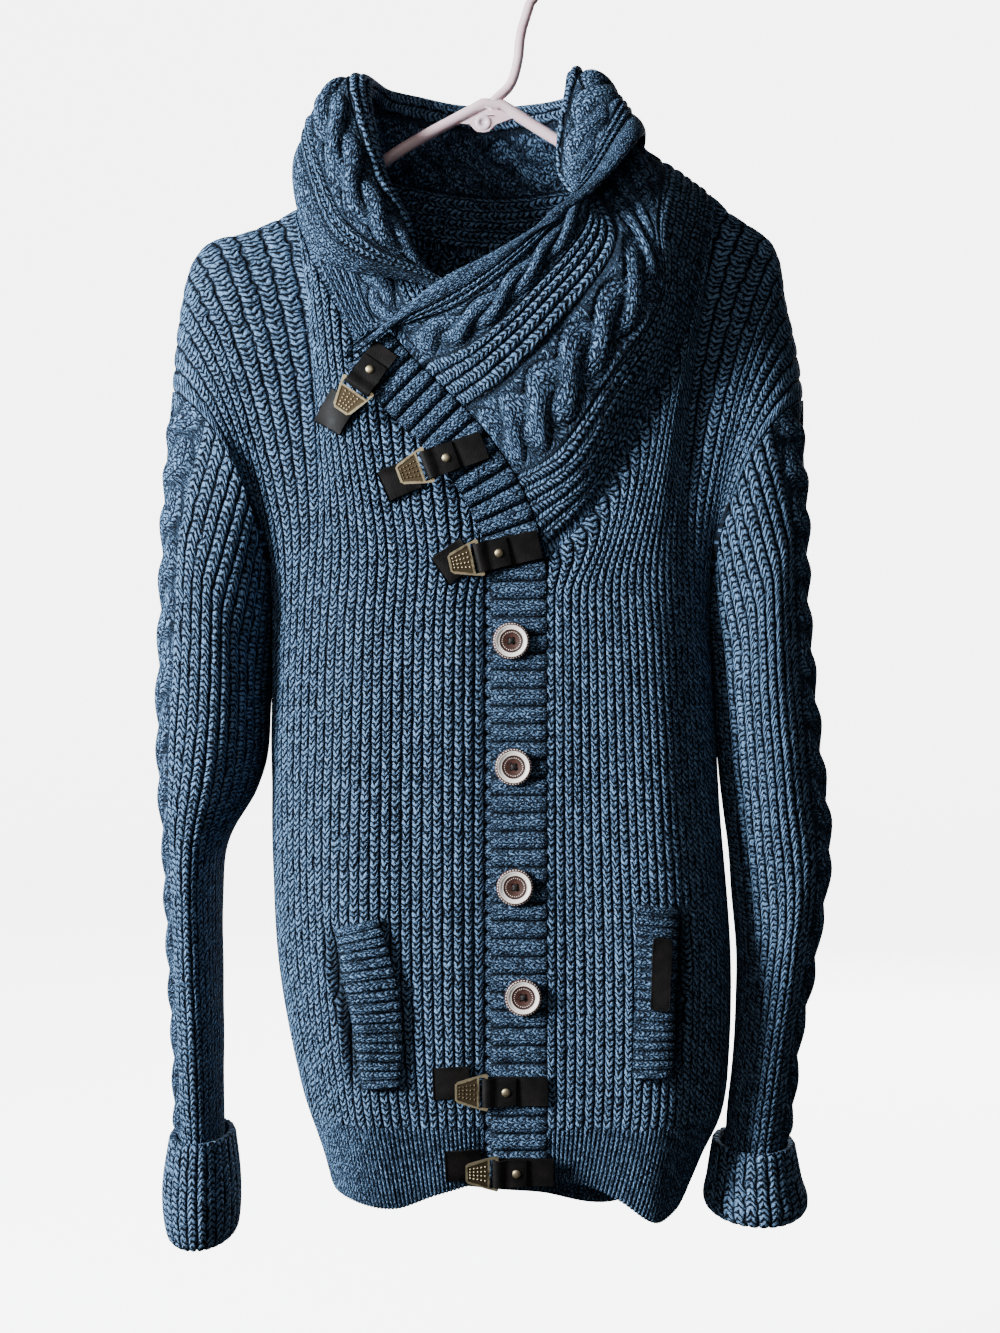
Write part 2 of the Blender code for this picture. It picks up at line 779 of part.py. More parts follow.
def front_top(seam_start, seam_stop, ridge_table, ribs):
    """Top of a front: neckline from its foot to the ridge, then the ridge."""
    crest, crest_out = ridge(ridge_table)
    count = 2 * ribs
    neck, neck_out, fixed = seam_stretch(seam_start, seam_stop, FRONT_NECK_COLUMNS)
    split = len(neck) - 1
    points, outward, arriving = list(neck), list(neck_out), []
    up_seam = (neck[-1] - neck[-4]).normalized()
    for j in range(count + 1):
        if j <= split:
            way = mix(Vector((0, 0.1, 1)), up_seam, (j / split) ** 2)
        else:
            t = (j - split) / (count - split)
            points.append(at_share(crest, t))
            outward.append(crest_out[round(t * (len(crest) - 1))])
            way = mix(up_seam, Vector((0, 1, 0)), smoothstep((j - split) / 8))
        arriving.append(way.normalized())
    for j in range(count + 1):
        points[j] = points[j] - arriving[j] * SEAM_GAP / 2
    fixed += [count - 6, count - 3, count]
    return (points, outward, arriving), inside_columns(count, fixed)


def back_top(ribs):
    """Top of the back: right ridge, back neckline, left ridge."""
    right, right_out = ridge(RIDGE_RIGHT)
    left, left_out = ridge(RIDGE_LEFT)
    right.reverse()
    right_out.reverse()
    count = 2 * ribs
    neck, neck_out, fixed = seam_stretch(
        NECK_RIGHT_ROW, NECK_LEFT_ROW, BACK_NECK_COLUMNS
    )
    split = (count - len(neck) + 1) // 2
    count = 2 * split + len(neck) - 1
    over_neck = Vector((0, -0.45, 0.9))
    points, outward, arriving = [], [], []
    for j in range(count + 1):
        if j < split:
            t = j / split
            points.append(at_share(right, t))
            outward.append(right_out[round(t * (len(right) - 1))])
            way = mix(Vector((0, -1, 0)), over_neck, smoothstep((j - split + 8) / 8))
        elif j > count - split:
            t = (j - count + split) / split
            points.append(at_share(left, t))
            outward.append(left_out[round(t * (len(left) - 1))])
            away = smoothstep((j - count + split) / 8)
            way = mix(over_neck, Vector((0, -1, 0)), away)
        else:
            points.append(neck[j - split])
            outward.append(neck_out[j - split])
            way = over_neck
        arriving.append(way.normalized())
    for j in range(count + 1):
        points[j] = points[j] - arriving[j] * SEAM_GAP / 2
    fixed = [0, 3, 6] + [split + k for k in fixed] + [count - 6, count - 3, count]
    return (points, outward, arriving), inside_columns(count, fixed)


def build_body():
    """Back and the two fronts."""
    foot = len(SEAM_POINTS) - 1
    built = []
    for name, row_at, top, edges, seams in (
        ("left_front_panel", left_front_row,
         front_top(foot, NECK_LEFT_ROW, RIDGE_LEFT, FRONT_RIBS),
         (None, armhole(SLEEVE_LEFT, True)), (False, True)),
        ("right_front_panel", right_front_row,
         front_top(0, NECK_RIGHT_ROW, RIDGE_RIGHT, FRONT_RIBS),
         (None, armhole(SLEEVE_RIGHT, True)), (False, True)),
        ("back_panel", back_row, back_top(BACK_RIBS),
         (armhole(SLEEVE_RIGHT, False), armhole(SLEEVE_LEFT, False)), (True, True)),
    ):
        ends, inside = top
        panel = make_panel(row_at, *ends, edges, seams)
        panel_wall(name, panel, inside)
        built.append(panel)
    return built


def hem_piece(name, row_at, ribs, seam_sides, edge):
    """Ribbed hem below a panel."""
    trim = (SEAM_GAP / 2 if seam_sides[0] else 0, SEAM_GAP / 2 if seam_sides[1] else 0)
    heights = (HEM_EDGE, HEM_SEAM - SEAM_GAP)
    rows = [evenly(trimmed(row_at(h), *trim), 2 * ribs) for h in heights]
    for point in rows[0]:
        point.z = through([x for x, _ in edge], [z for _, z in edge], point.x)
    outward = []
    for row in rows:
        line = []
        for j in range(len(row)):
            a, b = row[max(j - 2, 0)], row[min(j + 2, len(row) - 1)]
            direction = (b - a).cross(Vector((0, 0, 1)))
            if direction.dot(Vector((row[j].x * 0.3, row[j].y, 0))) < 0:
                direction = -direction
            line.append(direction.normalized())
        line[0] = Vector((-1, 0, 0)) if seam_sides[0] else Vector((0, -1, 0))
        line[-1] = Vector((math.copysign(1, row[-1].x), 0, 0))
        outward.append(line)
    hem = Panel(rows, outward)
    panel_wall(name, hem, inside_columns(hem.count, [0, hem.count], 5))
    return hem


# =============================================================================
# Sleeves and cuffs
# =============================================================================
def sleeve_rows(table, count):
    """Closed section rows, armhole first, with outward directions."""
    side = math.copysign(1, table[0][0])
    rows = []
    for k, row in enumerate(table):
        loop = [ring_point(row, 2 * math.pi * i / 160) for i in range(161)]
        if k == 0:
            loop = armhole_ring(table)[0]
        rows.append(evenly(loop, count)[:-1])
    outward = []
    for k, row in enumerate(rows):
        above, below = rows[max(k - 1, 0)], rows[min(k + 1, len(rows) - 1)]
        middle = sum(row, Vector()) / len(row)
        line = []
        for j in range(count):
            across = row[(j + 1) % count] - row[j - 1]
            direction = across.cross(below[j] - above[j])
            if direction.dot(row[j] - middle) < 0:
                direction = -direction
            line.append(direction.normalized())
        outward.append(line)
    ring, ring_out = armhole_ring(table)
    knots = chord_knots(ring)
    for j in range(count):
        direction = linear(knots, ring_out, knots[-1] * j / count)
        outward[0][j] = direction.normalized()
    away = Vector((side * 0.8, 0, -0.6)) * 2 * SEAM_GAP
    rows[0] = [p + away for p in rows[0]]
    outward[-1] = [Vector((v.x, v.y, 0)).normalized() for v in outward[-1]]
    return rows, outward


def row_knots(rows):
    """Mean distance of each row from the first one."""
    knots = [0.0]
    for a, b in zip(rows, rows[1:]):
        gap = sum((q - p).length for p, q in zip(a, b)) / len(a)
        knots.append(knots[-1] + gap)
    return knots


def sleeve(name, table):
    """Sleeve tube with rib columns and a cable down its outer line."""
    side_points = 2 * SLEEVE_RIBS
    fine = 400
    rows, outward = sleeve_rows(table, fine)
    turn = round(fine * CABLE_TURN)
    rows = [r[turn:] + r[:turn] for r in rows]
    outward = [o[turn:] + o[:turn] for o in outward]
    outer = []
    start, stop = round(fine * CABLE_SHARE), round(fine * (1 - CABLE_SHARE))
    knots = row_knots(rows)
    for j in range(side_points + 1):
        place = round(mix(start, stop, j / side_points))
        depth = rib_groove(j)
        points = [r[place] - o[place] * depth for r, o in zip(rows, outward)]
        outer.append(Line(points, knots, across=place))
    steps = round(knots[-1] / CABLE_PITCH) * CABLE_STEPS
    for line, offset in enumerate((-0.5, 0.0, 0.5)):
        across = round(offset * 1.1 * CABLE_SHARE * fine) + fine
        place = across % fine
        points, heights = [], []
        base = [r[place] for r in rows]
        directions = [o[place] for o in outward]
        for step in range(steps + 1):
            distance = knots[-1] * step / steps
            ends = min(step, steps - step) / 2
            height = cable_height(line, step) * min(ends, 1.0)
            out = linear(knots, directions, distance).normalized()
            points.append(linear(knots, base, distance) + out * height)
            heights.append(height)
        stops = [knots[-1] * step / steps for step in range(steps + 1)]
        outer.append(Line(points, stops, heights, across))
    inner = []
    corners = chord_knots(armhole_ring(table)[0])
    places = [fine * c / corners[-1] for c in corners[:-1]]
    places += [(a + b) / 2 for a, b in zip(places, places[1:] + [fine])]
    for across in sorted((round(p) - turn - start) % fine + start for p in places):
        place = across % fine
        points = [r[place] - o[place] * WALL for r, o in zip(rows, outward)]
        inner.append(Line(points, knots, across=across))
    wall(name, outer, inner, NAVY_KNIT, around=fine)
    return rows, outward


def linear(knots, values, x):
    for k in range(1, len(knots)):
        if knots[k] >= x:
            t = (x - knots[k - 1]) / (knots[k] - knots[k - 1])
            return values[k - 1].lerp(values[k], t)
    return values[-1]


def cuff_ring(height, outer_x, inner_x, half_depth, inset, count, grooves=False):
    """Level ring of a cuff, inset from its outside."""
    middle = (outer_x + inner_x) / 2
    half = abs(outer_x - inner_x) / 2
    side = math.copysign(1, outer_x)
    ring = []
    for i in range(count):
        angle = 2 * math.pi * i / count
        depth = inset + (rib_groove(i) if grooves else 0.0)
        x = middle + side * (half - depth) * math.cos(angle)
        y = -(half_depth - depth) * math.sin(angle)
        ring.append(Vector((x, y, height)))
    return ring


def cuff(name, table, sleeve_end):
    """Turned-back cuff: down inside, round the fold and up outside, one piece."""
    top, middle, low, fold = table
    end_height = sleeve_end[1] - SEAM_GAP
    end = (sleeve_end[0], sleeve_end[2], sleeve_end[4])
    plain, ribbed = 12, 2 * CUFF_RIBS
    rings = [
        cuff_ring(end_height, *end, WALL, plain),
        cuff_ring(low[0], low[1], low[2], low[3], 3.2 * WALL / 2 + 4, plain),
        cuff_ring(fold[0], fold[1], fold[2], fold[3], 2.0, plain),
        cuff_ring(*low, 0.0, ribbed, grooves=True),
        cuff_ring(*middle, 0.0, ribbed, grooves=True),
        cuff_ring(*top, 0.0, ribbed, grooves=True),
        cuff_ring(*top, WALL, plain),
        cuff_ring(*middle, WALL, plain),
        cuff_ring(low[0] + 2.0, low[1], low[2], low[3], WALL + 0.2, plain),
        cuff_ring(low[0] + 2.0, low[1], low[2], low[3], WALL + 1.6, plain),
        cuff_ring(end_height, *end, 0.0, plain),
    ]
    bm = bmesh.new()
    verts = [[bm.verts.new(p * MM) for p in ring] for ring in rings]
    for a, b in zip(verts, verts[1:] + verts[:1]):
        zip_strip(bm, a + a[:1], b + b[:1])
    add_mesh(name, bm, NAVY_KNIT)


# =============================================================================
# Front bands
# =============================================================================
def over_band_path():
    heights = (-852.0, HEM_SEAM, -705.0, -590.0, UNDERARM)
    points = [Vector((BAND_X, front_depth(BAND_X, h), h)) for h in heights]
    return smooth_path(points + [Vector(p) for p in SLANT], 3.0)


BAND_PATH = over_band_path()
BAND_KNOTS = chord_knots(BAND_PATH)


def band_at(distance):
    """Middle of the over band, its way up and its way across, at a distance."""
    point = linear(BAND_KNOTS, BAND_PATH, distance)
    ahead = linear(BAND_KNOTS, BAND_PATH, min(distance + 8, BAND_KNOTS[-1]))
    behind = linear(BAND_KNOTS, BAND_PATH, max(distance - 8, 0))
    run = ahead - behind
    up = Vector((run.x, 0, run.z)).normalized()
    across = Vector((up.z, 0, -up.x))
    return point, up, across


def cross_ribbed_strip(name, place_at, length, half, pitch, rise):
    """Strip with cross ribs; place_at gives middle and across at a distance."""
    outward = Vector((0, -1, 0))
    ribs = round(length / pitch)
    steps = 2 * ribs
    outer = []
    coarse = [steps * k / (steps // 4) for k in range(steps // 4 + 1)]
    for share in (-1.0, -0.88, 0.88, 1.0):
        points = []
        stops = coarse if abs(share) == 1.0 else range(steps + 1)
        for k in stops:
            point, across = place_at(length * k / steps)
            height = rise if k % 2 and stops is not coarse else 0.0
            points.append(point + across * half * share + outward * height)
        outer.append(Line(points, list(stops)))
    inner = []
    for share in (-1.0, 0.0, 1.0):
        points = []
        for k in coarse:
            point, across = place_at(length * k / steps)
            points.append(point + across * half * share - outward * WALL)
        inner.append(Line(points, coarse))
    wall(name, outer, inner, NAVY_KNIT)


def build_bands():
    def over(distance):
        point, _, across = band_at(distance)
        return point, across

    cross_ribbed_strip(
        "left_front_band", over, BAND_KNOTS[-1], BAND_HALF, BAND_RIB_PITCH,
        BAND_RIB_RISE,
    )
    low, high = -850.0, -441.0

    def under(distance):
        height = low + distance
        y = front_depth(BAND_X, height) + UNDER_STEP
        return Vector((UNDER_BAND_X, y, height)), Vector((1, 0, 0))

    cross_ribbed_strip(
        "right_front_band", under, high - low, BAND_HALF, 25.0, 0.0
    )


# =============================================================================
# Collar
# =============================================================================
COLLAR_WIDTH = 190.0
NECK_GAP = 2.0  # the collar's turned-in edge starts this far from the neckline
CABLE_HALF = 17.0
CABLE_SPREAD = 9.0  # between the inner lines of a cable
CABLE_MIDDLES = (62.0, 135.0)  # across the collar from the neck seam
RIB_BAND_COLUMNS = ("from", "pitch", "ribs")
RIB_BANDS = ((5.0, 9.0, 4), (85.0, 9.0, 3), (157.0, 10.0, 3))
COLLAR_RIB_RISE = 1.5
INNER_SHOWS = (3, 12)  # sections between which the inner face shows
OUTER_SHOWS = (10, 17)
FADE = 25.0


def collar_sections():
    """Control rows of the collar, the last one along the over band's slant."""
    sections = []
    for row in COLLAR:
        points = [Vector(v) for v in row]
        middle = points[0] - points[1].normalized() * WALL / 2
        towards = (points[2] - middle).normalized()
        sections.append([middle + towards * SEAM_GAP] + points[2:])
    last = [Vector(LEFT_V) + Vector((-0.2, WALL / 2, 1.0))]
    start = slant_start()
    for share in COLLAR_SHARES[1:-1]:
        point, up, across = band_at(mix(start, BAND_KNOTS[-1], share / COLLAR_SHARES[-2]))
        edge = point + across * (BAND_HALF + 2.0)
        last.append(edge + Vector((0, WALL / 2, 0)))
    roll = up * (WALL / 2 + 1.5) + Vector((0, -3, 0))
    last.append(point - across * BAND_HALF + roll)
    last[-2] += roll
    sections.append(last)
    return sections


def slant_start():
    """Distance along the band where its inner edge passes the neckline's foot."""
    distance = BAND_KNOTS[-1] * 0.5
    while distance < BAND_KNOTS[-1]:
        point, _, across = band_at(distance)
        if (point + across * BAND_HALF).z > LEFT_V[2] + 2:
            break
        distance += 1.0
    return distance


class Collar:
    """Middle surface of the collar by share across and section number along."""

    def __init__(self):
        self.sections = collar_sections()
        self.knots = [0.0]
        for a, b in zip(self.sections, self.sections[1:]):
            gap = sum((b[c] - a[c]).length for c in (0, 3, 5)) / 3
            self.knots.append(self.knots[-1] + gap)

    def control(self, along):
        return [
            through(self.knots, [row[c] for row in self.sections], along)
            for c in range(len(COLLAR_SHARES))
        ]

    def at(self, share, along):
        if share == 0:
            point = through(self.knots, SEAM_POINTS, along)
            outward = through(self.knots, SEAM_OUT, along).normalized()
            towards = (self.control(along)[1] - point).normalized()
            sewn = smoothstep((along - self.knots[12]) / 40)
            gap = mix(NECK_GAP, SEAM_GAP, sewn)
            return point - outward * WALL / 2 + towards * gap
        if along > self.knots[-1] - 0.01 and share <= COLLAR_SHARES[-2]:
            return self.along_band(share)
        return rounded(COLLAR_SHARES, self.control(along), share)

    def along_band(self, share):
        """Last section: beside the over band up to its top corner."""
        start = slant_start()
        near = mix(start, BAND_KNOTS[-1], share / COLLAR_SHARES[-2])
        point, up, across = band_at(near)
        lift = smoothstep((share - 0.6) / 0.16)
        point += across * (BAND_HALF + 2.0) + Vector((0, WALL / 2 - 3 * lift, 0))
        return point + up * (WALL / 2 + 1.5) * lift

    def outward(self, share, along):
        """Direction of the outer face; at the neck seam, the panels' own."""
        across = self.at(min(share + 0.015, 1), along) - self.at(
            max(share - 0.015, 0), along
        )
        run = self.at(share, min(along + 4, self.knots[-1])) - self.at(
            share, max(along - 4, 0)
        )
        free = across.cross(run).normalized()
        if along > self.knots[-1] - 1:
            free = Vector((0, -1, 0))
        at_seam = through(self.knots, SEAM_OUT, along).normalized()
        return mix(at_seam, free, smoothstep(share / 0.15)).normalized()

    def seam(self):
        """Neck seam on the panels' outside at the collar's stops, with directions."""
        stops = collar_stops(self.knots)
        points = [through(self.knots, SEAM_POINTS, stop) for stop in stops]
        outward = [through(self.knots, SEAM_OUT, stop).normalized() for stop in stops]
        return stops, points, outward


def collar_lines(bands):
    """Lines across the collar: place, kind, and number or crest."""
    lines = [(0.0, "edge", 0), (20.0, "edge", 0), (40.0, "edge", 0)]
    if bands == RIB_BANDS:
        lines = lines[:1]
    for start, pitch, ribs in bands:
        for k in range(2 * ribs + 1):
            lines.append((start + pitch * k / 2, "rib", k % 2))
    for middle in CABLE_MIDDLES:
        for number in range(3):
            lines.append((middle + (number - 1) * CABLE_SPREAD, "cable", number))
    lines.append((COLLAR_WIDTH, "edge", 0))
    return sorted(lines)


def collar_stops(knots):
    """Places along the collar: each section and the middle of each long gap."""
    stops = [0.0]
    for a, b in zip(knots, knots[1:]):
        if b - a > 46:
            stops.append((a + b) / 2)
        stops.append(b)
    return stops


def build_collar(collar):
    stops = collar_stops(collar.knots)
    length = collar.knots[-1]
    steps = round(length / CABLE_PITCH) * CABLE_STEPS
    fine = [length * k / steps for k in range(steps + 1)]

    def face(sign, shows, bands):
        begin = collar.knots[shows[0]]
        end = collar.knots[min(shows[1], len(collar.knots) - 1)]
        if shows[1] > len(collar.knots) - 1:
            end += FADE
        lines = []
        for place, kind, number in collar_lines(bands):
            share = place / COLLAR_WIDTH
            middle = [collar.at(share, stop) for stop in stops]
            out = [collar.outward(share, stop) * sign for stop in stops]
            places = stops
            if kind == "cable":
                shown = [f for f in fine if begin < f < end]
                near = [f for f in stops if shown[0] - 5 < f < shown[-1] + 5]
                places = sorted([f for f in stops if f not in near] + shown)
                places = sorted(set(places) | {stops[0], stops[-1]})
            points, heights = [], []
            for stop in places:
                fade = smoothstep((stop - begin) / FADE)
                fade *= smoothstep((end - stop) / FADE)
                height = 0.0
                if kind == "cable" and stop in fine:
                    height = cable_height(number, fine.index(stop)) * fade
                elif kind == "rib":
                    height = COLLAR_RIB_RISE * number * fade
                direction = linear(stops, out, stop).normalized()
                base = linear(stops, middle, stop)
                points.append(base + direction * (WALL / 2 + height))
                heights.append(height)
            relief = heights if kind == "cable" else None
            lines.append(Line(points, places, relief, place))
        return lines

    outer = face(1, OUTER_SHOWS, RIB_BANDS)
    inner = face(-1, INNER_SHOWS, RIB_BANDS[1:])
    wall("shawl_collar", outer, inner, NAVY_KNIT)


# =============================================================================
# Pocket welts and their leather patch
# =============================================================================
WELT_WALL = 3.5
WELT_GAP = 0.6
WELT_RIB_RISE = 1.3
WELT_LIFT = 5.0  # the open edge stands off the panel
WELT_RIBS = 17
# Free edge and sewn edge, top to bottom: x and height of each.
WELT_COLUMNS = ("free_x", "free_z", "sewn_x", "sewn_z")
RIGHT_WELT = (
    (-114.0, -679.0, -85.0, -671.0),
    (-110.5, -703.0, -76.5, -698.0),
    (-104.0, -732.0, -70.0, -730.0),
    (-99.5, -759.0, -69.0, -760.0),
    (-96.0, -787.0, -71.0, -785.0),
)
LEFT_WELT = (
    (117.0, -666.0, 89.0, -662.0),
    (115.5, -694.0, 86.5, -692.0),
    (113.5, -724.0, 86.0, -722.0),
    (113.0, -752.0, 85.0, -751.0),
    (113.0, -779.0, 84.5, -779.0),
)
PATCH_FROM, PATCH_TO = 0.18, 0.57  # along the left welt
PATCH_IN, PATCH_OUT = 0.16, 0.62  # across it from the free edge
PATCH_THICK = 1.4


def welt_point(table, panel, along, across, out):
    """Point over the panel; across runs from the free edge to the sewn one."""
    knots = list(range(len(table)))
    free_x, free_z, sewn_x, sewn_z = (
        through(knots, [row[c] for row in table], along * knots[-1]) for c in range(4)
    )
    x, z = mix(free_x, sewn_x, across), mix(free_z, sewn_z, across)
    lift = WELT_LIFT * (1 - smoothstep(across / 0.9)) * math.sin(math.pi * along)
    return panel.find(x, z) + Vector((0, -(SEAM_GAP + lift + out), 0))


def welt(name, table, panel):
    steps = 2 * WELT_RIBS
    outer, inner = [], []
    for across in (0.0, 0.12, 0.5, 0.88, 1.0):
        points = []
        stops = range(0, steps + 1, 1 if 0 < across < 1 else 2)
        for k in stops:
            crest = WELT_RIB_RISE if k % 2 and 0 < across < 1 else 0.0
            out = WELT_WALL + crest + WELT_GAP
            points.append(welt_point(table, panel, k / steps, across, out))
        outer.append(Line(points, list(stops)))
    for across in (0.0, 0.5, 1.0):
        points = [welt_point(table, panel, k / 8, across, WELT_GAP) for k in range(9)]
        inner.append(Line(points))
    wall(name, outer, inner, NAVY_KNIT)


def pocket_patch(panel):
    """Plain leather patch on the left welt."""
    base = WELT_WALL + WELT_RIB_RISE + WELT_GAP + 1.2
    faces = []
    for out in (base + PATCH_THICK, base):
        lines = []
        for across in (PATCH_IN, PATCH_OUT):
            points = []
            for k in range(5):
                along = mix(PATCH_FROM, PATCH_TO, k / 4)
                points.append(welt_point(LEFT_WELT, panel, along, across, out))
            lines.append(Line(points))
        faces.append(lines)
    wall("pocket_patch", *faces, DARK_LEATHER)


# =============================================================================
# Hard pieces
# =============================================================================
BUTTON_RADIUS = 12.5
BUTTON_SIDES = 16
BUTTON_HEIGHTS = (-487.0, -571.0, -651.0, -724.0)
BUTTON_X = (4.0, 5.5, 6.5, 12.0)
# Half profile of a button from the back round the rim to its face: radius, height.
BUTTON_PROFILE = (
    (12.2, 0.0),
    (12.5, 2.6),
    (11.4, 3.8),
    (9.4, 3.8),
    (8.4, 2.9),
)
HOLE_RADIUS = 1.1
HOLE_OUT = 2.1

# Clasps: x and height of the plate's bar, the strap's angle and length, the middle
# and angle of the leather base on the right front and its gap over the ribs.
CLASP_COLUMNS = (
    "bar_x", "bar_z", "angle", "strap", "base_x", "base_z", "base_turn", "base_gap",
)
CLASPS = (
    (-97.5, -317.0, 55.0, 31.0, -114.0, -333.0, 58.0, 1.4),
    (-51.5, -370.0, 20.0, 40.0, -71.0, -379.0, 24.0, 0.6),
    (-17.0, -431.0, 12.6, 41.0, -34.0, -434.0, 35.0, 0.6),
    (-12.5, -787.0, 0.0, 41.0, -36.0, -782.0, 2.0, 0.6),
    (-5.5, -842.0, 0.0, 38.0, -28.0, -839.0, 2.0, 0.6),
)
STRAP_WIDTH = 19.0
STRAP_THICK = 1.6
STRAP_TOP_END = 20.0
BAR_HEIGHT = 3.3  # over the band's ribs
LOOP_RADIUS = 2.2
BAR_HALF = 1.0
PLATE_THICK = 1.6
PLATE_LENGTH = 22.0
PLATE_WIDE, PLATE_NARROW = 25.0, 14.0
RIVET_PLACE = 13.0
RIVET_RADIUS = 2.9
RIVET_SHANK = 1.3
BASE_LONG, BASE_WIDE, BASE_THICK = 24.0, 21.0, 2.0


def add_cutter(name, bm):
    mesh = bpy.data.meshes.new(name)
    bmesh.ops.recalc_face_normals(bm, faces=bm.faces)
    bm.to_mesh(mesh)
    bm.free()
    cutter = bpy.data.objects.new(name, mesh)
    cutter.hide_render = True
    cutter.display_type = "WIRE"
    CUTTERS.objects.link(cutter)
    return cutter


def combine(part, other, operation):
    modifier = part.modifiers.new(other.name, "BOOLEAN")
    modifier.operation = operation
    modifier.solver = "EXACT"
    modifier.object = other


def slab(outline, low, high):
    """Flat solid from an outline in its own x and y, between two heights."""
    bm = bmesh.new()
    face = bm.faces.new([bm.verts.new((x * MM, y * MM, low * MM)) for x, y in outline])
    lifted = bmesh.ops.extrude_face_region(bm, geom=[face])
    verts = [v for v in lifted["geom"] if isinstance(v, bmesh.types.BMVert)]
    bmesh.ops.translate(bm, verts=verts, vec=(0, 0, (high - low) * MM))
    return bm


def turned(profile, sides):
    """Solid of revolution about its own z axis."""
    bm = bmesh.new()
    line = [bm.verts.new((r * MM, 0, z * MM)) for r, z in profile]
    edges = [bm.edges.new(pair) for pair in zip(line, line[1:])]
    bmesh.ops.spin(
        bm, geom=line + edges, cent=(0, 0, 0), axis=(0, 0, 1),
        angle=2 * math.pi, steps=sides,
    )
    bmesh.ops.remove_doubles(bm, verts=bm.verts, dist=0.00001)
    rims = [edge for edge in bm.edges if edge.is_boundary]
    bmesh.ops.holes_fill(bm, edges=rims, sides=0)
    return bm


def band_plane(x, z):
    """Point on the over band's rib crests nearest to x and z, and its outward."""
    path = [p for p in BAND_PATH]
    k = min(
        range(len(path)), key=lambda i: (path[i].x - x) ** 2 + (path[i].z - z) ** 2
    )
    a, b = path[max(k - 3, 0)], path[min(k + 3, len(path) - 1)]
    run = (b - a).normalized()
    side = Vector((run.z, 0, -run.x)).normalized()
    outward = run.cross(side).normalized()
    if outward.y > 0:
        outward = -outward
    return path[k] + outward * BAND_RIB_RISE, outward


def button(number, x, z):
    crest, outward = band_plane(x, z)
    place = Vector((x, crest.y, z)) + outward * 0.6
    turn = outward.to_track_quat("Z", "Y").to_matrix().to_4x4()
    place_at = Matrix.Translation(place * MM) @ turn
    part = add_mesh(f"button_{number}", turned(BUTTON_PROFILE, BUTTON_SIDES), HORN_BROWN)
    holes = bmesh.new()
    for k in range(4):
        angle = math.pi / 4 + k * math.pi / 2
        x_off, y_off = HOLE_OUT * math.cos(angle), HOLE_OUT * math.sin(angle)
        middle = Matrix.Translation(Vector((x_off, y_off, 2.0)) * MM)
        bmesh.ops.create_cone(
            holes, cap_ends=True, segments=5, radius1=HOLE_RADIUS * MM,
            radius2=HOLE_RADIUS * MM, depth=12 * MM, matrix=middle,
        )
    cutter = add_cutter(f"button_{number}_holes", holes)
    part.matrix_world = place_at
    cutter.matrix_world = place_at
    combine(part, cutter, "DIFFERENCE")


def strap_outline(length):
    """Side of the folded strap: long layer below, round the bar, short layer on top."""
    half = STRAP_THICK / 2
    low, high = BAR_HEIGHT - LOOP_RADIUS, BAR_HEIGHT + LOOP_RADIUS
    top = low + STRAP_THICK + SEAM_GAP
    middle = [(length, low), (1.0, low)]
    for k in range(1, 6):
        angle = math.radians(-90 - 40 * k)
        middle.append(
            (LOOP_RADIUS * math.cos(angle), BAR_HEIGHT + LOOP_RADIUS * math.sin(angle))
        )
    middle += [(3.5, high - 0.9), (6.5, top), (STRAP_TOP_END, top)]
    left, right = [], []
    for k, (u, n) in enumerate(middle):
        a, b = middle[max(k - 1, 0)], middle[min(k + 1, len(middle) - 1)]
        run = Vector((b[0] - a[0], b[1] - a[1])).normalized()
        left.append((u - run.y * half, n + run.x * half))
        right.append((u + run.y * half, n - run.x * half))
    return left + right[::-1]


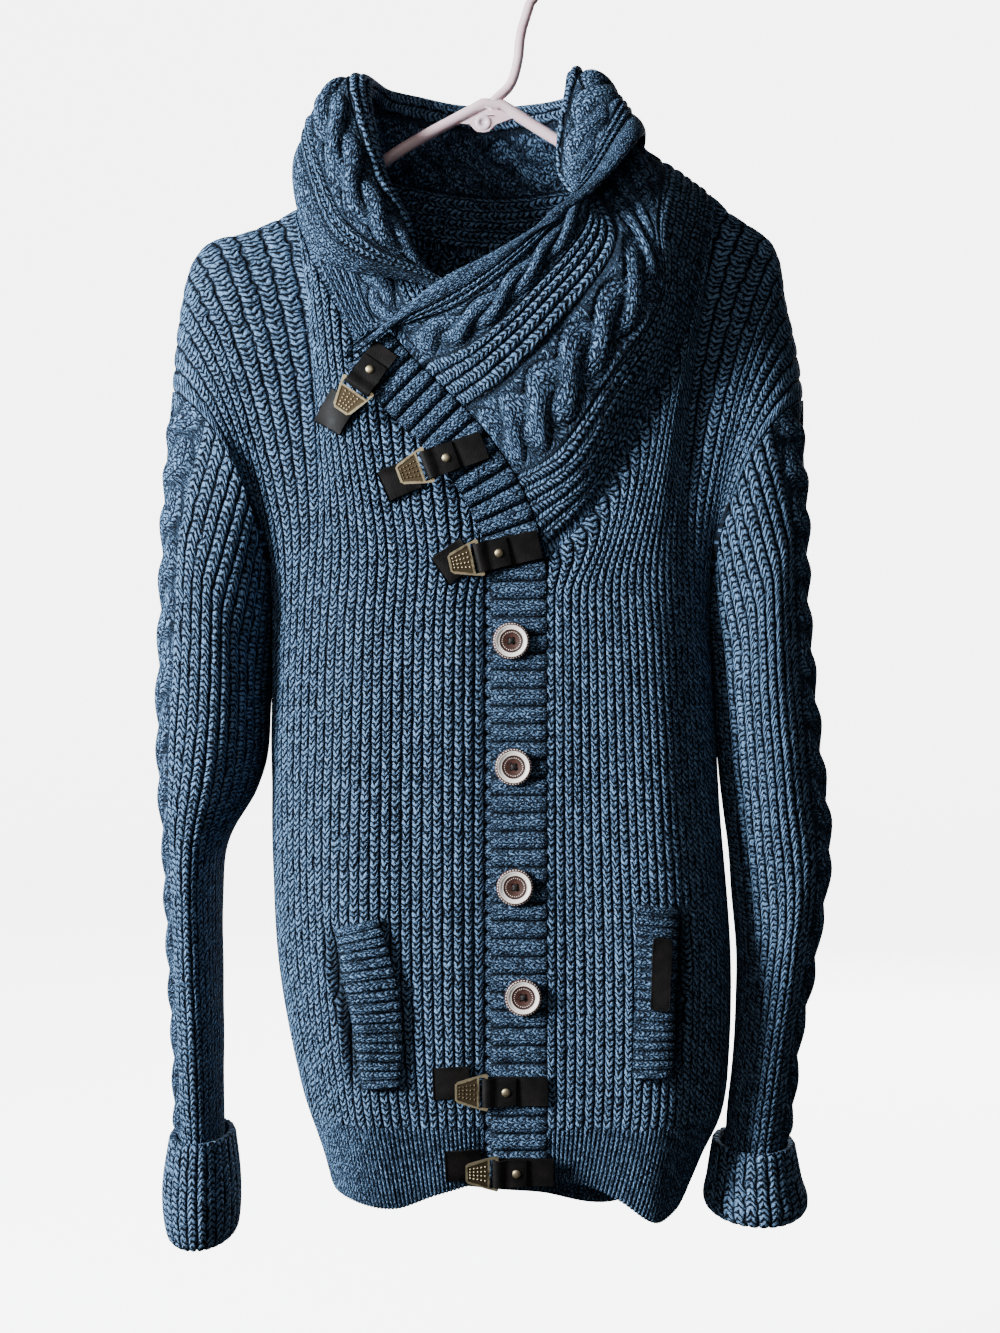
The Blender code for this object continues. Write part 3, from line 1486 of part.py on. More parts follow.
def clasp(number, row, right_panel, right_hem):
    """One strap, rivet, hook plate and leather base."""
    bar_x, bar_z, angle, length, base_x, base_z, base_turn, base_gap = row
    reach = Vector((math.cos(math.radians(angle)), 0, math.sin(math.radians(angle))))
    over = Vector((bar_x, 0, bar_z)) + reach * length / 2
    crest, outward = band_plane(over.x, over.z)
    along = (reach - outward * reach.dot(outward)).normalized()
    across = outward.cross(along)
    start = Vector((bar_x, crest.y, bar_z))
    start -= outward * (start - crest).dot(outward)
    frame = Matrix((along, across, outward)).transposed().to_4x4()
    place = Matrix.Translation(start * MM) @ frame

    bm = slab(strap_outline(length), -STRAP_WIDTH / 2, STRAP_WIDTH / 2)
    upright = Matrix(((1, 0, 0, 0), (0, 0, -1, 0), (0, 1, 0, 0), (0, 0, 0, 1)))
    bm.transform(upright)
    strap = add_mesh(f"clasp_{number}_strap", bm, DARK_LEATHER, smooth=False)
    hole = bmesh.new()
    at_rivet = Matrix.Translation(Vector((RIVET_PLACE, 0, BAR_HEIGHT)) * MM)
    bmesh.ops.create_cone(
        hole, cap_ends=True, segments=6, radius1=(RIVET_SHANK + 0.3) * MM,
        radius2=(RIVET_SHANK + 0.3) * MM, depth=12 * MM, matrix=at_rivet,
    )
    hole = add_cutter(f"clasp_{number}_rivet_hole", hole)
    combine(strap, hole, "DIFFERENCE")

    top = BAR_HEIGHT - LOOP_RADIUS + STRAP_THICK * 1.5 + SEAM_GAP
    rivet = add_mesh(
        f"clasp_{number}_rivet",
        turned(
            (
                (RIVET_SHANK, top - 3.2),
                (RIVET_SHANK, top + SEAM_GAP),
                (RIVET_RADIUS, top + SEAM_GAP),
                (RIVET_RADIUS * 0.85, top + 1.0),
                (RIVET_RADIUS * 0.5, top + 1.4),
            ),
            9,
        ),
        AGED_BRASS,
    )

    tail, end = -PLATE_LENGTH + BAR_HALF, BAR_HALF
    narrow, wide = PLATE_NARROW / 2, PLATE_WIDE / 2
    outline = (
        (tail, -narrow + 2), (tail + 2, -narrow), (-6, -wide + 1.5), (end - 1, -wide),
        (end, -wide + 1), (end, wide - 1), (end - 1, wide), (-6, wide - 1.5),
        (tail + 2, narrow), (tail, narrow - 2),
    )
    low, high = BAR_HEIGHT - PLATE_THICK / 2, BAR_HEIGHT + PLATE_THICK / 2
    plate = add_mesh(
        f"clasp_{number}_plate", slab(outline, low, high), AGED_BRASS, smooth=False
    )
    slot_end, slot_half = -BAR_HALF, STRAP_WIDTH / 2 + 0.6
    slot_start = -LOOP_RADIUS - STRAP_THICK / 2 - 0.5
    box = ((slot_start, -slot_half), (slot_end, -slot_half),
           (slot_end, slot_half), (slot_start, slot_half))
    slot = add_cutter(f"clasp_{number}_slot", slab(box, low - 3, high + 3))
    combine(plate, slot, "DIFFERENCE")
    for thing in (strap, hole, plate, slot):
        thing.matrix_world = place
    rivet.matrix_world = place @ Matrix.Translation(Vector((RIVET_PLACE, 0, 0)) * MM)

    panel = right_panel if base_z > HEM_SEAM + 14 else right_hem
    turn = math.radians(base_turn)
    faces = []
    for out in (BASE_THICK + base_gap, base_gap):
        lines = []
        for side in (-0.5, 0.0, 0.5):
            points = []
            for step in (-0.5, 0.0, 0.5):
                u, v = step * BASE_LONG, side * BASE_WIDE
                x = base_x + u * math.cos(turn) - v * math.sin(turn)
                z = base_z + u * math.sin(turn) + v * math.cos(turn)
                points.append(panel.find(x, z) + Vector((0, -out, 0)))
            lines.append(Line(points))
        faces.append(lines)
    wall(f"clasp_{number}_base", *faces, DARK_LEATHER)


# =============================================================================
# Hanger
# =============================================================================
SHANK_RADIUS = 3.5
ARM_RADIUS = 4.2
HOOK_RADIUS = 23.9  # to the middle of the tube
HOOK_FROM, HOOK_TO = -42.0, 192.0  # degrees round the hook
SHANK = ((-10.6, -116.0), (-10.6, -108.6), (3.5, -94.5), (9.2, -76.8), (10.6, -62.7),
         (13.4, -48.6))
ARMS = ((-188.0, -218.5), (-146.0, -197.0), (-80.0, -144.4),
        (-15.0, -107.5), (-2.0, -108.5), (41.0, -135.5), (172.0, -213.5))
WEB_HALF = 1.5
WEB = ((-40.0, -121.5), (-24.5, -121.5), (-22.5, -124.5), (-19.5, -127.0),
       (-15.4, -127.8), (-11.3, -127.0), (-8.3, -124.5), (-6.3, -121.5),
       (9.0, -117.0), (-2.0, -107.5), (-10.0, -106.0))


def tube(name, points, radius):
    """Round tube along points in the hanger's plane, as a mesh."""
    curve = bpy.data.curves.new(name, "CURVE")
    curve.dimensions = "3D"
    curve.bevel_depth = radius * MM
    curve.bevel_resolution = 2
    curve.use_fill_caps = True
    line = curve.splines.new("POLY")
    line.points.add(len(points) - 1)
    for spot, (x, z) in zip(line.points, points):
        spot.co = (x * MM, 0, z * MM, 1)
    drawn = bpy.data.objects.new(name, curve)
    CUTTERS.objects.link(drawn)
    bpy.context.view_layer.update()
    graph = bpy.context.evaluated_depsgraph_get()
    mesh = bpy.data.meshes.new_from_object(drawn.evaluated_get(graph))
    bpy.data.objects.remove(drawn, do_unlink=True)
    bm = bmesh.new()
    bm.from_mesh(mesh)
    bmesh.ops.remove_doubles(bm, verts=bm.verts, dist=0.00001)
    return bm


def build_hanger():
    centre = Vector((0.0, SHANK_RADIUS - HOOK_RADIUS))
    hook = list(SHANK)
    steps = 12
    for k in range(steps + 1):
        angle = math.radians(mix(HOOK_FROM, HOOK_TO, k / steps))
        hook.append(
            (centre.x + HOOK_RADIUS * math.cos(angle),
             centre.y + HOOK_RADIUS * math.sin(angle))
        )
    bm = slab([(x, z) for x, z in WEB], -WEB_HALF, WEB_HALF)
    bm.transform(Matrix(((1, 0, 0, 0), (0, 0, -1, 0), (0, 1, 0, 0), (0, 0, 0, 1))))
    hanger = add_mesh("hanger", bm, PALE_PINK)
    combine(hanger, add_cutter("hanger_arms", tube("arms", ARMS, ARM_RADIUS)), "UNION")
    combine(hanger, add_cutter("hanger_hook", tube("hook", hook, SHANK_RADIUS)), "UNION")


# =============================================================================
# Build
# =============================================================================
COLLAR_FORM = Collar()
LEFT_PANEL, RIGHT_PANEL, BACK_PANEL = build_body()
hem_piece("left_front_hem", left_front_row, FRONT_RIBS, (False, True), FRONT_HEM)
RIGHT_HEM = hem_piece(
    "right_front_hem", right_front_row, FRONT_RIBS, (False, True), FRONT_HEM
)
hem_piece("back_hem", back_row, BACK_RIBS, (True, True), BACK_HEM)
sleeve("right_sleeve", SLEEVE_RIGHT)
sleeve("left_sleeve", SLEEVE_LEFT)
cuff("right_cuff", CUFF_RIGHT, SLEEVE_RIGHT[-1])
cuff("left_cuff", CUFF_LEFT, SLEEVE_LEFT[-1])
build_bands()
build_collar(COLLAR_FORM)
welt("right_pocket_welt", RIGHT_WELT, RIGHT_PANEL)
welt("left_pocket_welt", LEFT_WELT, LEFT_PANEL)
pocket_patch(LEFT_PANEL)
for n, (button_x, button_z) in enumerate(zip(BUTTON_X, BUTTON_HEIGHTS), 1):
    button(n, button_x, button_z)
for n, clasp_row in enumerate(CLASPS, 1):
    clasp(n, clasp_row, RIGHT_PANEL, RIGHT_HEM)
build_hanger()
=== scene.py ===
"""Looks of a shawl collar cardigan in chunky rib knit, hung on a plastic hanger.

Every cloth piece is a thin knitted shell bent from a grid onto the garment's form.
Tables are in millimetres and meshes in metres.  +X is the wearer's left, +Y the
wearer's back and +Z up; the origin is the bearing point inside the hanger's hook.
"""

import math

import bmesh
import bpy
from bpy.props import FloatProperty, FloatVectorProperty, PointerProperty, StringProperty
from mathutils import Matrix, Vector, noise


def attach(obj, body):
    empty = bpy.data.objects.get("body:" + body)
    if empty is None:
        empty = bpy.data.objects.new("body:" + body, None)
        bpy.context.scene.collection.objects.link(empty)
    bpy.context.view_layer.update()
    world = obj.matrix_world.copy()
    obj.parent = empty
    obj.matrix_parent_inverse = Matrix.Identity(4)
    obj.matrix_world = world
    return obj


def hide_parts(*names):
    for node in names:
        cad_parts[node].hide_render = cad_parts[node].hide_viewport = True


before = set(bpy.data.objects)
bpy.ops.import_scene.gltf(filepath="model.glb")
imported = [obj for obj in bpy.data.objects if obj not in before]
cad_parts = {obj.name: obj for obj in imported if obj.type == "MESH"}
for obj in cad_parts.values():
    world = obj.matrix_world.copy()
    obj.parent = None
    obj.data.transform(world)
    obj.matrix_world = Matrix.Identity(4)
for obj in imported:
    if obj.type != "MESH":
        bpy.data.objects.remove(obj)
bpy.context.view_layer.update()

bl_info = {
    "name": "Shawl collar cardigan",
    "version": (1, 0, 0),
    "blender": (4, 5, 0),
    "location": "3D View > Sidebar > Cardigan",
    "description": "Knitted cardigan with leather clasps on a plastic hanger",
    "category": "Object",
}

MM = 0.001

# ---- Cloth -----------------------------------------------
WALL = 5.0  # one layer of the rib knit
SEAM_GAP = 0.3
RIB_PITCH = 6.9  # from one rib to the next
STITCH_PITCH = 5.6  # from one grid row to the next
STITCH_ROW = 4.3  # from one row of stitches to the next
FINE_WALE, FINE_ROW = 4.3, 3.6  # the closer knit of cables, edges and bands
RIB_STEPS = 6  # grid columns over one rib
HEM_STEPS = 3  # the same in a hem, whose ribs are half as wide
RIB_DEPTH = 1.6
RIB_SQUARE = 3.2  # higher makes flatter crests and narrower grooves
PAINTED_RIB_SHADE = 0.4  # painted shade: how dark the groove between two ribs is drawn
FRONT_RIBS = 28
BACK_RIBS = 52
SLEEVE_RIBS = 30
CUFF_RIBS = 26
CABLE_PITCH = 31.0
CABLE_SWING = 0.40  # strands swing this share of the cable's half width
CABLE_STRAND = 0.56  # half of a strand's width, as the same share
CABLE_TOP = 2.4
CABLE_LIFT = 2.1  # over and under where strands cross
CABLE_FLOOR = -2.6
CABLE_ROUND = 0.6  # 0.5 would make a strand's top half an ellipse
CREASE_DEPTH, CREASE_WIDE = 1.2, 1.1  # the crease where one strand meets the other
STRAND_WALES = 1.7  # stitches from a strand's middle to its side
UPPER_ROWS = 46  # grid rows from the underarm to the shoulder
HEM_ROWS = 16
SLEEVE_ROWS = 150
CUFF_ROWS = 40
# Uneven hang of the heavy knit: waves to a millimetre along x, y and z, and their height.
BROAD_WAVES, BROAD_HEIGHT = (0.016, 0.012, 0.0055), 2.6
SMALL_DENTS, DENT_HEIGHT = (0.05, 0.04, 0.028), 0.9

# ---- Body: outside of the cloth at each height -----------
HEM_EDGE = -872.0
BACK_HEM = ((-121, -866), (-60, -884), (0, -888), (70, -896), (110, -884), (128, -868))
FRONT_HEM = (
    (-121, -866), (-75, -871), (-45, -861), (-10, -853), (50, -854), (76, -865),
    (102, -882), (118, -877), (128, -868),
)
HEM_SEAM = -814.0
UNDERARM = -458.0
# Columns: height, right and left side, depth of the front and of the back.
BODY = (
    (-872.0, -121.0, 128.0, 68.0, 62.0),
    (-845.0, -127.0, 139.0, 74.0, 68.0),
    (-814.0, -137.0, 152.0, 79.0, 74.0),
    (-782.0, -147.0, 157.5, 82.0, 78.0),
    (-705.0, -160.0, 159.0, 83.0, 80.0),
    (-600.0, -163.5, 151.0, 80.0, 78.0),
    (-458.0, -161.5, 141.5, 77.0, 74.0),
)
BODY_ROUND = 2.7  # 2 would make the section an ellipse
# Folds: side, x at the hem and at the top, half width, how far out, low and high end.
FOLDS = (
    (-1, 114.0, 100.0, 56.0, 13.0, -872.0, -280.0),
    (-1, -106.0, -100.0, 52.0, 12.0, -872.0, -280.0),
    (1, -104.0, -84.0, 36.0, 8.0, -872.0, -330.0),
    (1, -36.0, -28.0, 36.0, 8.0, -872.0, -380.0),
    (1, 34.0, 26.0, 36.0, 9.0, -872.0, -350.0),
    (1, 104.0, 82.0, 34.0, 8.0, -872.0, -330.0),
)

# ---- Front bands -----------------------------------------
BAND_X = 9.0
BAND_HALF = 18.5
BAND_RIB_PITCH = 12.0
UNDER_BAND_X = 4.7
UNDER_BAND_FOOT, UNDER_BAND_LENGTH = -850.0, 409.0
UNDER_STEP = WALL + 1.4  # how far behind the over band it lies
TUCK_REACH = 40.0  # over this width the right front sinks to it
# Middle of the over band where it slants along the collar's end.
SLANT = (
    (8.0, -77.5, -436.0),
    (1.5, -80.0, -410.0),
    (-14.0, -82.5, -379.0),
    (-35.0, -82.5, -351.0),
    (-57.0, -81.0, -329.0),
    (-77.0, -79.0, -309.0),
    (-92.0, -77.5, -291.0),
)

# ---- Shoulder ridges and sleeves -------------------------
RIDGE_RIGHT = (
    (-145.0, -180.0), (-157.0, -187.0), (-183.0, -198.0), (-208.0, -205.0),
    (-221.0, -221.0), (-229.0, -255.0), (-233.0, -290.0), (-234.0, -311.0),
)
RIDGE_LEFT = (
    (147.0, -172.0), (159.0, -184.0), (174.0, -194.0), (187.0, -204.0),
    (194.0, -219.0), (198.0, -246.0), (204.0, -272.0), (208.0, -295.0),
    (210.0, -317.0),
)
# Sleeve sections from the armhole down: outer x and z, inner x and z, half depth.
SLEEVE_RIGHT = (
    (-234.0, -311.0, -161.8, -458.0, 58.0),
    (-238.0, -385.0, -165.0, -512.0, 61.0),
    (-240.0, -470.0, -167.0, -560.0, 60.0),
    (-241.0, -550.0, -175.0, -592.0, 57.0),
    (-237.0, -625.0, -197.0, -634.0, 53.0),
    (-234.0, -700.0, -200.0, -700.0, 50.0),
    (-230.0, -765.0, -199.0, -765.0, 46.0),
    (-228.0, -838.0, -198.0, -838.0, 38.0),
)
SLEEVE_LEFT = (
    (210.0, -317.0, 141.8, -458.0, 58.0),
    (212.0, -385.0, 146.0, -512.0, 61.0),
    (213.0, -465.0, 151.0, -580.0, 60.0),
    (220.0, -550.0, 157.5, -645.0, 57.0),
    (227.0, -625.0, 162.5, -700.0, 54.0),
    (218.0, -695.0, 163.0, -735.0, 52.0),
    (205.0, -765.0, 161.0, -785.0, 48.0),
    (196.0, -842.0, 155.0, -842.0, 40.0),
)
CABLE_TURN = 0.09  # from the outer line to the cable, as a share of the way round
CABLE_SHARE = 0.058  # half of the cable's width, as the same share
ARMHOLE_BOW = 22.0  # the armhole's seam bows this far on to the body
# Cuffs from the free top down: height, outer x, inner x and half depth.
CUFF_RIGHT = (
    (-831.0, -235.0, -191.0, 46.0),
    (-868.0, -240.0, -187.0, 51.0),
    (-898.0, -237.0, -189.0, 49.0),
    (-904.0, -232.0, -195.0, 44.0),
)
CUFF_LEFT = (
    (-837.0, 203.0, 147.0, 49.0),
    (-862.0, 208.0, 143.0, 53.0),
    (-880.0, 212.0, 141.0, 55.0),
    (-887.0, 205.0, 148.0, 50.0),
)

# ---- Collar ----------------------------------------------
COLLAR_WIDTH = 190.0
COLLAR_SHARES = (0.0, 0.18, 0.36, 0.52, 0.76, 1.0)
# Collar rows: neck seam, its outward way, then five points across to the free edge.
COLLAR = (
    ((-14, -71, -440), (0, -1, 0), (-1, -67, -424), (11, -68, -408),
     (21, -68, -394), (32, -69, -378), (42, -69, -362)),
    ((-21, -68, -388), (0, -1, 0), (-10, -67, -372), (3, -69, -356),
     (15, -70, -342), (27, -71, -328), (38, -72, -314)),
    ((-57, -66, -346), (0, -1, 0.1), (-46, -66, -330), (-34, -69, -312),
     (-22, -70, -298), (-10, -71, -282), (2, -73, -270)),
    ((-101, -60, -286), (-0.2, -1, 0.1), (-90, -63, -274), (-77, -66, -262),
     (-62, -69, -250), (-50, -72, -240), (-58, -79, -248)),
    ((-121, -52, -249), (-0.3, -1, 0.3), (-106, -55, -238), (-86, -58, -222),
     (-66, -64, -206), (-81, -84, -219), (-106, -86, -241)),
    ((-137, -36, -216), (-0.5, -0.8, 0.5), (-120, -40, -202), (-100, -42, -184),
     (-83, -50, -168), (-106, -77, -190), (-129, -79, -226)),
    ((-145, 0, -180), (-0.5, 0, 0.85), (-126, -4, -152), (-108, -4, -122),
     (-98, -4, -94), (-130, -14, -110), (-146, -24, -162)),
    ((-110, 28, -192), (-0.4, 0.75, 0.5), (-98, 30, -160), (-88, 32, -125),
     (-80, 34, -93), (-104, 52, -106), (-122, 62, -150)),
    ((0, 48, -206), (0, 1, 0.3), (-2, 46, -172), (-4, 48, -135),
     (-5, 56, -99), (-5, 77, -112), (-5, 88, -160)),
    ((112, 28, -190), (0.4, 0.75, 0.5), (92, 32, -160), (70, 34, -125),
     (50, 38, -94), (70, 60, -112), (86, 72, -150)),
    ((147, 0, -172), (0.76, 0, 0.65), (118, -14, -158), (76, -4, -128),
     (46, 0, -93), (75, -18, -104), (96, -38, -138)),
    ((133, -42, -246), (0.5, -0.8, 0.3), (108, -70, -214), (82, -56, -186),
     (43, -46, -168), (52, -66, -170), (62, -84, -184)),
    ((119, -55, -289), (0.3, -1, 0.2), (106, -78, -264), (86, -88, -238),
     (62, -86, -214), (44, -86, -201), (28, -93, -208)),
    ((91, -66, -345), (0.15, -1, 0.05), (72, -84, -320), (48, -94, -292),
     (24, -98, -266), (6, -97, -246), (-10, -95, -231)),
    ((64, -72, -392), (0, -1, 0), (42, -86, -366), (14, -92, -330),
     (-12, -95, -300), (-32, -95, -274), (-49, -93, -252)),
)
LEFT_V = (28.3, -76.5, -433.0)  # foot of the neckline on the wearer's left
# Collar rows where the neckline passes from the right front to the back and on.
NECK_RIGHT_ROW = 6
NECK_LEFT_ROW = 10
FRONT_NECK_RIBS = 17  # ribs that end at the neckline
BACK_NECK_RIBS = 32
SHOULDER_TURN = 24  # grid columns from a neckline's way up to a shoulder's
CROSS_STEPS = 10  # grid rows over one cross rib
COLLAR_SETTLE = 1.4  # relief sits this far into the collar's own thickness
COLLAR_ROW = 3.2  # from one grid row to the next along the collar
CABLE_COLUMNS = 26
ROLL_RISE = 2.2  # the free edge rolls into a plain bead
SEAM_TUCK = 2.0  # the collar's edge is sewn inside the neckline
SEAM_EASE = 28.0  # over this width it turns from the neckline's way to its own
# Across the collar from its neck seam: where ribs and cables begin and end.
COLLAR_BANDS = (
    ("plain", 0.0, 5.0, 2),
    ("rib", 5.0, 41.0, 5),
    ("cable", 43.0, 81.0, 1),
    ("rib", 84.0, 114.0, 4),
    ("cable", 116.0, 154.0, 1),
    ("rib", 156.0, 169.0, 2),
    ("roll", 170.0, 190.0, 10),
)

# ---- Pockets ---------------------------------------------
WELT_WALL = 3.5
WELT_GAP = 0.6
WELT_LIFT = 5.0  # how far the middle of its free edge stands off the front
WELT_RIBS = 17
WELT_STEPS = 6  # grid rows over one of its ribs
WELT_LONG, WELT_WIDE = 115.0, 31.0
# Welts from the top down: x and z of the free edge, x and z of the sewn edge.
RIGHT_WELT = (
    (-114.0, -679.0, -85.0, -671.0),
    (-110.5, -703.0, -76.5, -698.0),
    (-104.0, -732.0, -70.0, -730.0),
    (-99.5, -759.0, -69.0, -760.0),
    (-96.0, -787.0, -71.0, -785.0),
)
LEFT_WELT = (
    (117.0, -666.0, 89.0, -662.0),
    (115.5, -694.0, 86.5, -692.0),
    (113.5, -724.0, 86.0, -722.0),
    (113.0, -752.0, 85.0, -751.0),
    (113.0, -779.0, 84.5, -779.0),
)
PATCH_FROM, PATCH_TO = 0.18, 0.57  # shares of the left welt's length
PATCH_IN, PATCH_OUT = 0.16, 0.62  # shares of its width
PATCH_THICK = 1.4
SLIT_DEPTH = 9.0  # how far the front dips at the pocket's mouth
SLIT_HALF = 7.5

# ---- Buttons and clasps ----------------------------------
BUTTON_HEIGHTS = (-487.0, -571.0, -651.0, -724.0)
BUTTON_X = (4.0, 5.5, 6.5, 12.0)
BUTTON_PROFILE = (
    (0.0, 0.0), (11.9, 0.0), (12.4, 0.6), (12.5, 1.6), (12.3, 2.8), (11.7, 3.6),
    (10.8, 3.9), (9.9, 3.7), (9.2, 3.1), (8.5, 2.9), (4.6, 2.9), (4.0, 2.6), (0.0, 2.5),
)
HOLE_RADIUS = 1.1
HOLE_OUT = 2.1
# Clasps: x and z of the plate's bar, angle and length of the strap, x and z of the
# leather base, its turn and its gap to the cloth.
CLASPS = (
    (-97.5, -317.0, 55.0, 31.0, -114.0, -333.0, 58.0, 1.4),
    (-51.5, -370.0, 20.0, 40.0, -71.0, -379.0, 24.0, 0.6),
    (-17.0, -431.0, 12.6, 41.0, -34.0, -434.0, 35.0, 0.6),
    (-12.5, -787.0, 0.0, 41.0, -36.0, -782.0, 2.0, 0.6),
    (-5.5, -842.0, 0.0, 38.0, -28.0, -839.0, 2.0, 0.6),
)
BAND_RIB_RISE = 1.6  # the over band's crests stand out from its middle
STRAP_WIDTH = 19.0
STRAP_THICK = 1.6
STRAP_TOP_END = 20.0  # the folded-over layer ends here
BAR_HEIGHT = 3.3  # the plate's bar above the band's crests
LOOP_RADIUS = 2.2  # middle of the strap round the bar
BAR_HALF = 1.0
PLATE_THICK = 1.6
PLATE_LENGTH = 22.0
PLATE_WIDE, PLATE_NARROW = 25.0, 14.0
FIELD_DEPTH = 0.45  # the plate's studded field lies below its border
STUD_RADIUS = 0.75
RIVET_PLACE = 13.0
BASE_LONG, BASE_WIDE, BASE_THICK = 24.0, 21.0, 2.0

# ---- Hanger ----------------------------------------------
SHANK_RADIUS = 3.5
ARM_RADIUS = 4.2
HOOK_RADIUS = 23.9
HOOK_FROM, HOOK_TO = -42.0, 192.0
SHANK = ((-10.6, -116.0), (-10.6, -108.6), (3.5, -94.5), (9.2, -76.8), (10.6, -62.7),
         (13.4, -48.6))
ARMS = ((-188.0, -218.5), (-146.0, -197.0), (-80.0, -144.4),
        (-15.0, -107.5), (-2.0, -108.5), (41.0, -135.5), (172.0, -213.5))
BOSS_PLACE = (-15.4, 0.0, -120.8)
BOSS_PROFILE = ((0.0, -2.1), (5.2, -2.1), (5.6, -1.7), (5.6, 1.7), (5.2, 2.1),
                (2.6, 2.1), (2.2, 1.6), (0.0, 1.6))
WEB_HALF = 1.5
WEB = ((-40.0, -121.5), (-24.5, -121.5), (-22.5, -124.5), (-19.5, -127.0),
       (-15.4, -127.8), (-11.3, -127.0), (-8.3, -124.5), (-6.3, -121.5),
       (9.0, -117.0), (-2.0, -107.5), (-10.0, -106.0))

# ---- Camera ----------------------------------------------
CAMERA_PLACE = (-3.5, -1500.0, -504.0)
VIEW_WIDTH = 705.0  # seen at the hanger's distance
SENSOR = 36.0

# ---- Paper and lights, in metres -------------------------
COVE_RADIUS, COVE_HEIGHT, COVE_BEND = 6.0, 8.0, 0.9
AIM = (0.0, 0.0, -0.5)
KEY_PLACE, KEY_SIZE = (-2.5, -1.45, 0.25), 0.8
FILL_PLACE, FILL_SIZE, FILL_TINT = (-0.8, -2.8, 0.2), 1.6, (1.0, 0.95, 0.9)
BACK_PLACE, BACK_TINT = (0.9, 2.8, 0.5), (0.95, 0.97, 1.0)
BACK_SHARE = 6  # the back is lit this many times as strongly as the fill
ROOM_TINT, ROOM_STRENGTH = (0.9, 0.95, 1, 1), 0.08

# Turns a flat outline in x and y to stand in x and z.
STAND_UP = Matrix(((1, 0, 0, 0), (0, 0, -1, 0), (0, 1, 0, 0), (0, 0, 0, 1)))


# ==========================================================
# Curves
# ==========================================================
def hermite(knots, values, x, slope):
    """Value at x on a curve through the values at rising knots, with given slopes."""
    last = len(knots) - 1
    x = min(max(x, knots[0]), knots[last])
    i = 0
    while i < last - 1 and x > knots[i + 1]:
        i += 1
    h = knots[i + 1] - knots[i]
    t = (x - knots[i]) / h
    return (
        values[i] * (2 * t**3 - 3 * t**2 + 1)
        + slope(i) * h * (t**3 - 2 * t**2 + t)
        + values[i + 1] * (3 * t**2 - 2 * t**3)
        + slope(i + 1) * h * (t**3 - t**2)
    )


def through(knots, values, x):
    """Value at x on a smooth curve through the values at rising knots."""
    last = len(knots) - 1

    def slope(k):
        a, b = max(k - 1, 0), min(k + 1, last)
        return (values[b] - values[a]) / (knots[b] - knots[a])

    return hermite(knots, values, x, slope)


def row_between(knots, rows, x):
    """Row at x between like rows of numbers or points at rising knots."""
    return [through(knots, column, x) for column in zip(*rows)]


def rounded(knots, points, x):
    """Point at x on a curve that turns round its points at an even pace."""
    last = len(knots) - 1

    def slope(k):
        if k in (0, last):
            a, b = (0, 1) if k == 0 else (last - 1, last)
            return (points[b] - points[a]) / (knots[b] - knots[a])
        before = (points[k] - points[k - 1]).length / (knots[k] - knots[k - 1])
        after = (points[k + 1] - points[k]).length / (knots[k + 1] - knots[k])
        way = (points[k + 1] - points[k - 1]).normalized()
        return way * (before + after) / 2

    return hermite(knots, points, x, slope)


def chord_knots(points):
    """Distance along a line of points at each of them."""
    knots = [0.0]
    for a, b in zip(points, points[1:]):
        knots.append(knots[-1] + (b - a).length)
    return knots


def smooth_path(points, step=4.0):
    """Dense smooth path through a few points."""
    knots = chord_knots(points)
    count = max(8, round(knots[-1] / step))
    return [through(knots, points, knots[-1] * k / count) for k in range(count + 1)]


def linear(knots, values, x):
    """Vector at x on straight lines between the values at rising knots."""
    for k in range(1, len(knots)):
        if knots[k] >= x:
            t = (x - knots[k - 1]) / (knots[k] - knots[k - 1])
            return values[k - 1].lerp(values[k], t)
    return values[-1].copy()


def sampled(path, shares):
    """Points of a polyline at rising shares of its length."""
    knots = chord_knots(path)
    found, k = [], 1
    for share in shares:
        target = share * knots[-1]
        while k < len(path) - 1 and knots[k] < target:
            k += 1
        span = knots[k] - knots[k - 1]
        t = (target - knots[k - 1]) / span if span else 0.0
        found.append(path[k - 1].lerp(path[k], min(max(t, 0.0), 1.0)))
    return found


def evenly(path, count):
    return sampled(path, [i / count for i in range(count + 1)])


def smoothstep(t):
    t = min(max(t, 0.0), 1.0)
    return t * t * (3 - 2 * t)


def mix(a, b, t):
    return a * (1 - t) + b * t


# ==========================================================
# Body sections
# ==========================================================
def body_at(height):
    """Right and left side, front and back of the body at a height."""
    return row_between([row[0] for row in BODY], [row[1:] for row in BODY], height)


def fold_out(side, x, height):
    """How far the folds of the front (-1) or back (+1) stand out at a place."""
    total = 0.0
    for fold_side, x_hem, x_top, half_width, out, low, high in FOLDS:
        if fold_side != side:
            continue
        rise = (height - low) / (high - low)
        away = (x - mix(x_hem, x_top, min(max(rise, 0), 1))) / half_width
        if abs(away) < 1:
            total += out * math.cos(away * math.pi / 2) ** 2 * (1 - smoothstep(rise))
    return total


def half_section(height, side, steps=160):
    """Outside of the front (-1) or back (+1) from the right side to the left."""
    right, left, front, back = body_at(height)
    depth = front if side < 0 else back
    middle, half = (right + left) / 2, (left - right) / 2
    path = []
    for k in range(steps + 1):
        angle = math.pi * (1 - k / steps)
        c, s = math.cos(angle), math.sin(angle)
        across = math.copysign(abs(c) ** (2 / BODY_ROUND), c)
        x = middle + half * across
        y = depth * abs(s) ** (2 / BODY_ROUND)
        y += fold_out(side, x, height) * (1 - across**4)
        path.append(Vector((x, side * y, height)))
    return path


def cut_from(path, x):
    """Part of a row from x on towards the wearer's left."""
    for k in range(1, len(path)):
        if path[k].x > x:
            t = (x - path[k - 1].x) / (path[k].x - path[k - 1].x)
            return [path[k - 1].lerp(path[k], t)] + path[k:]
    return path


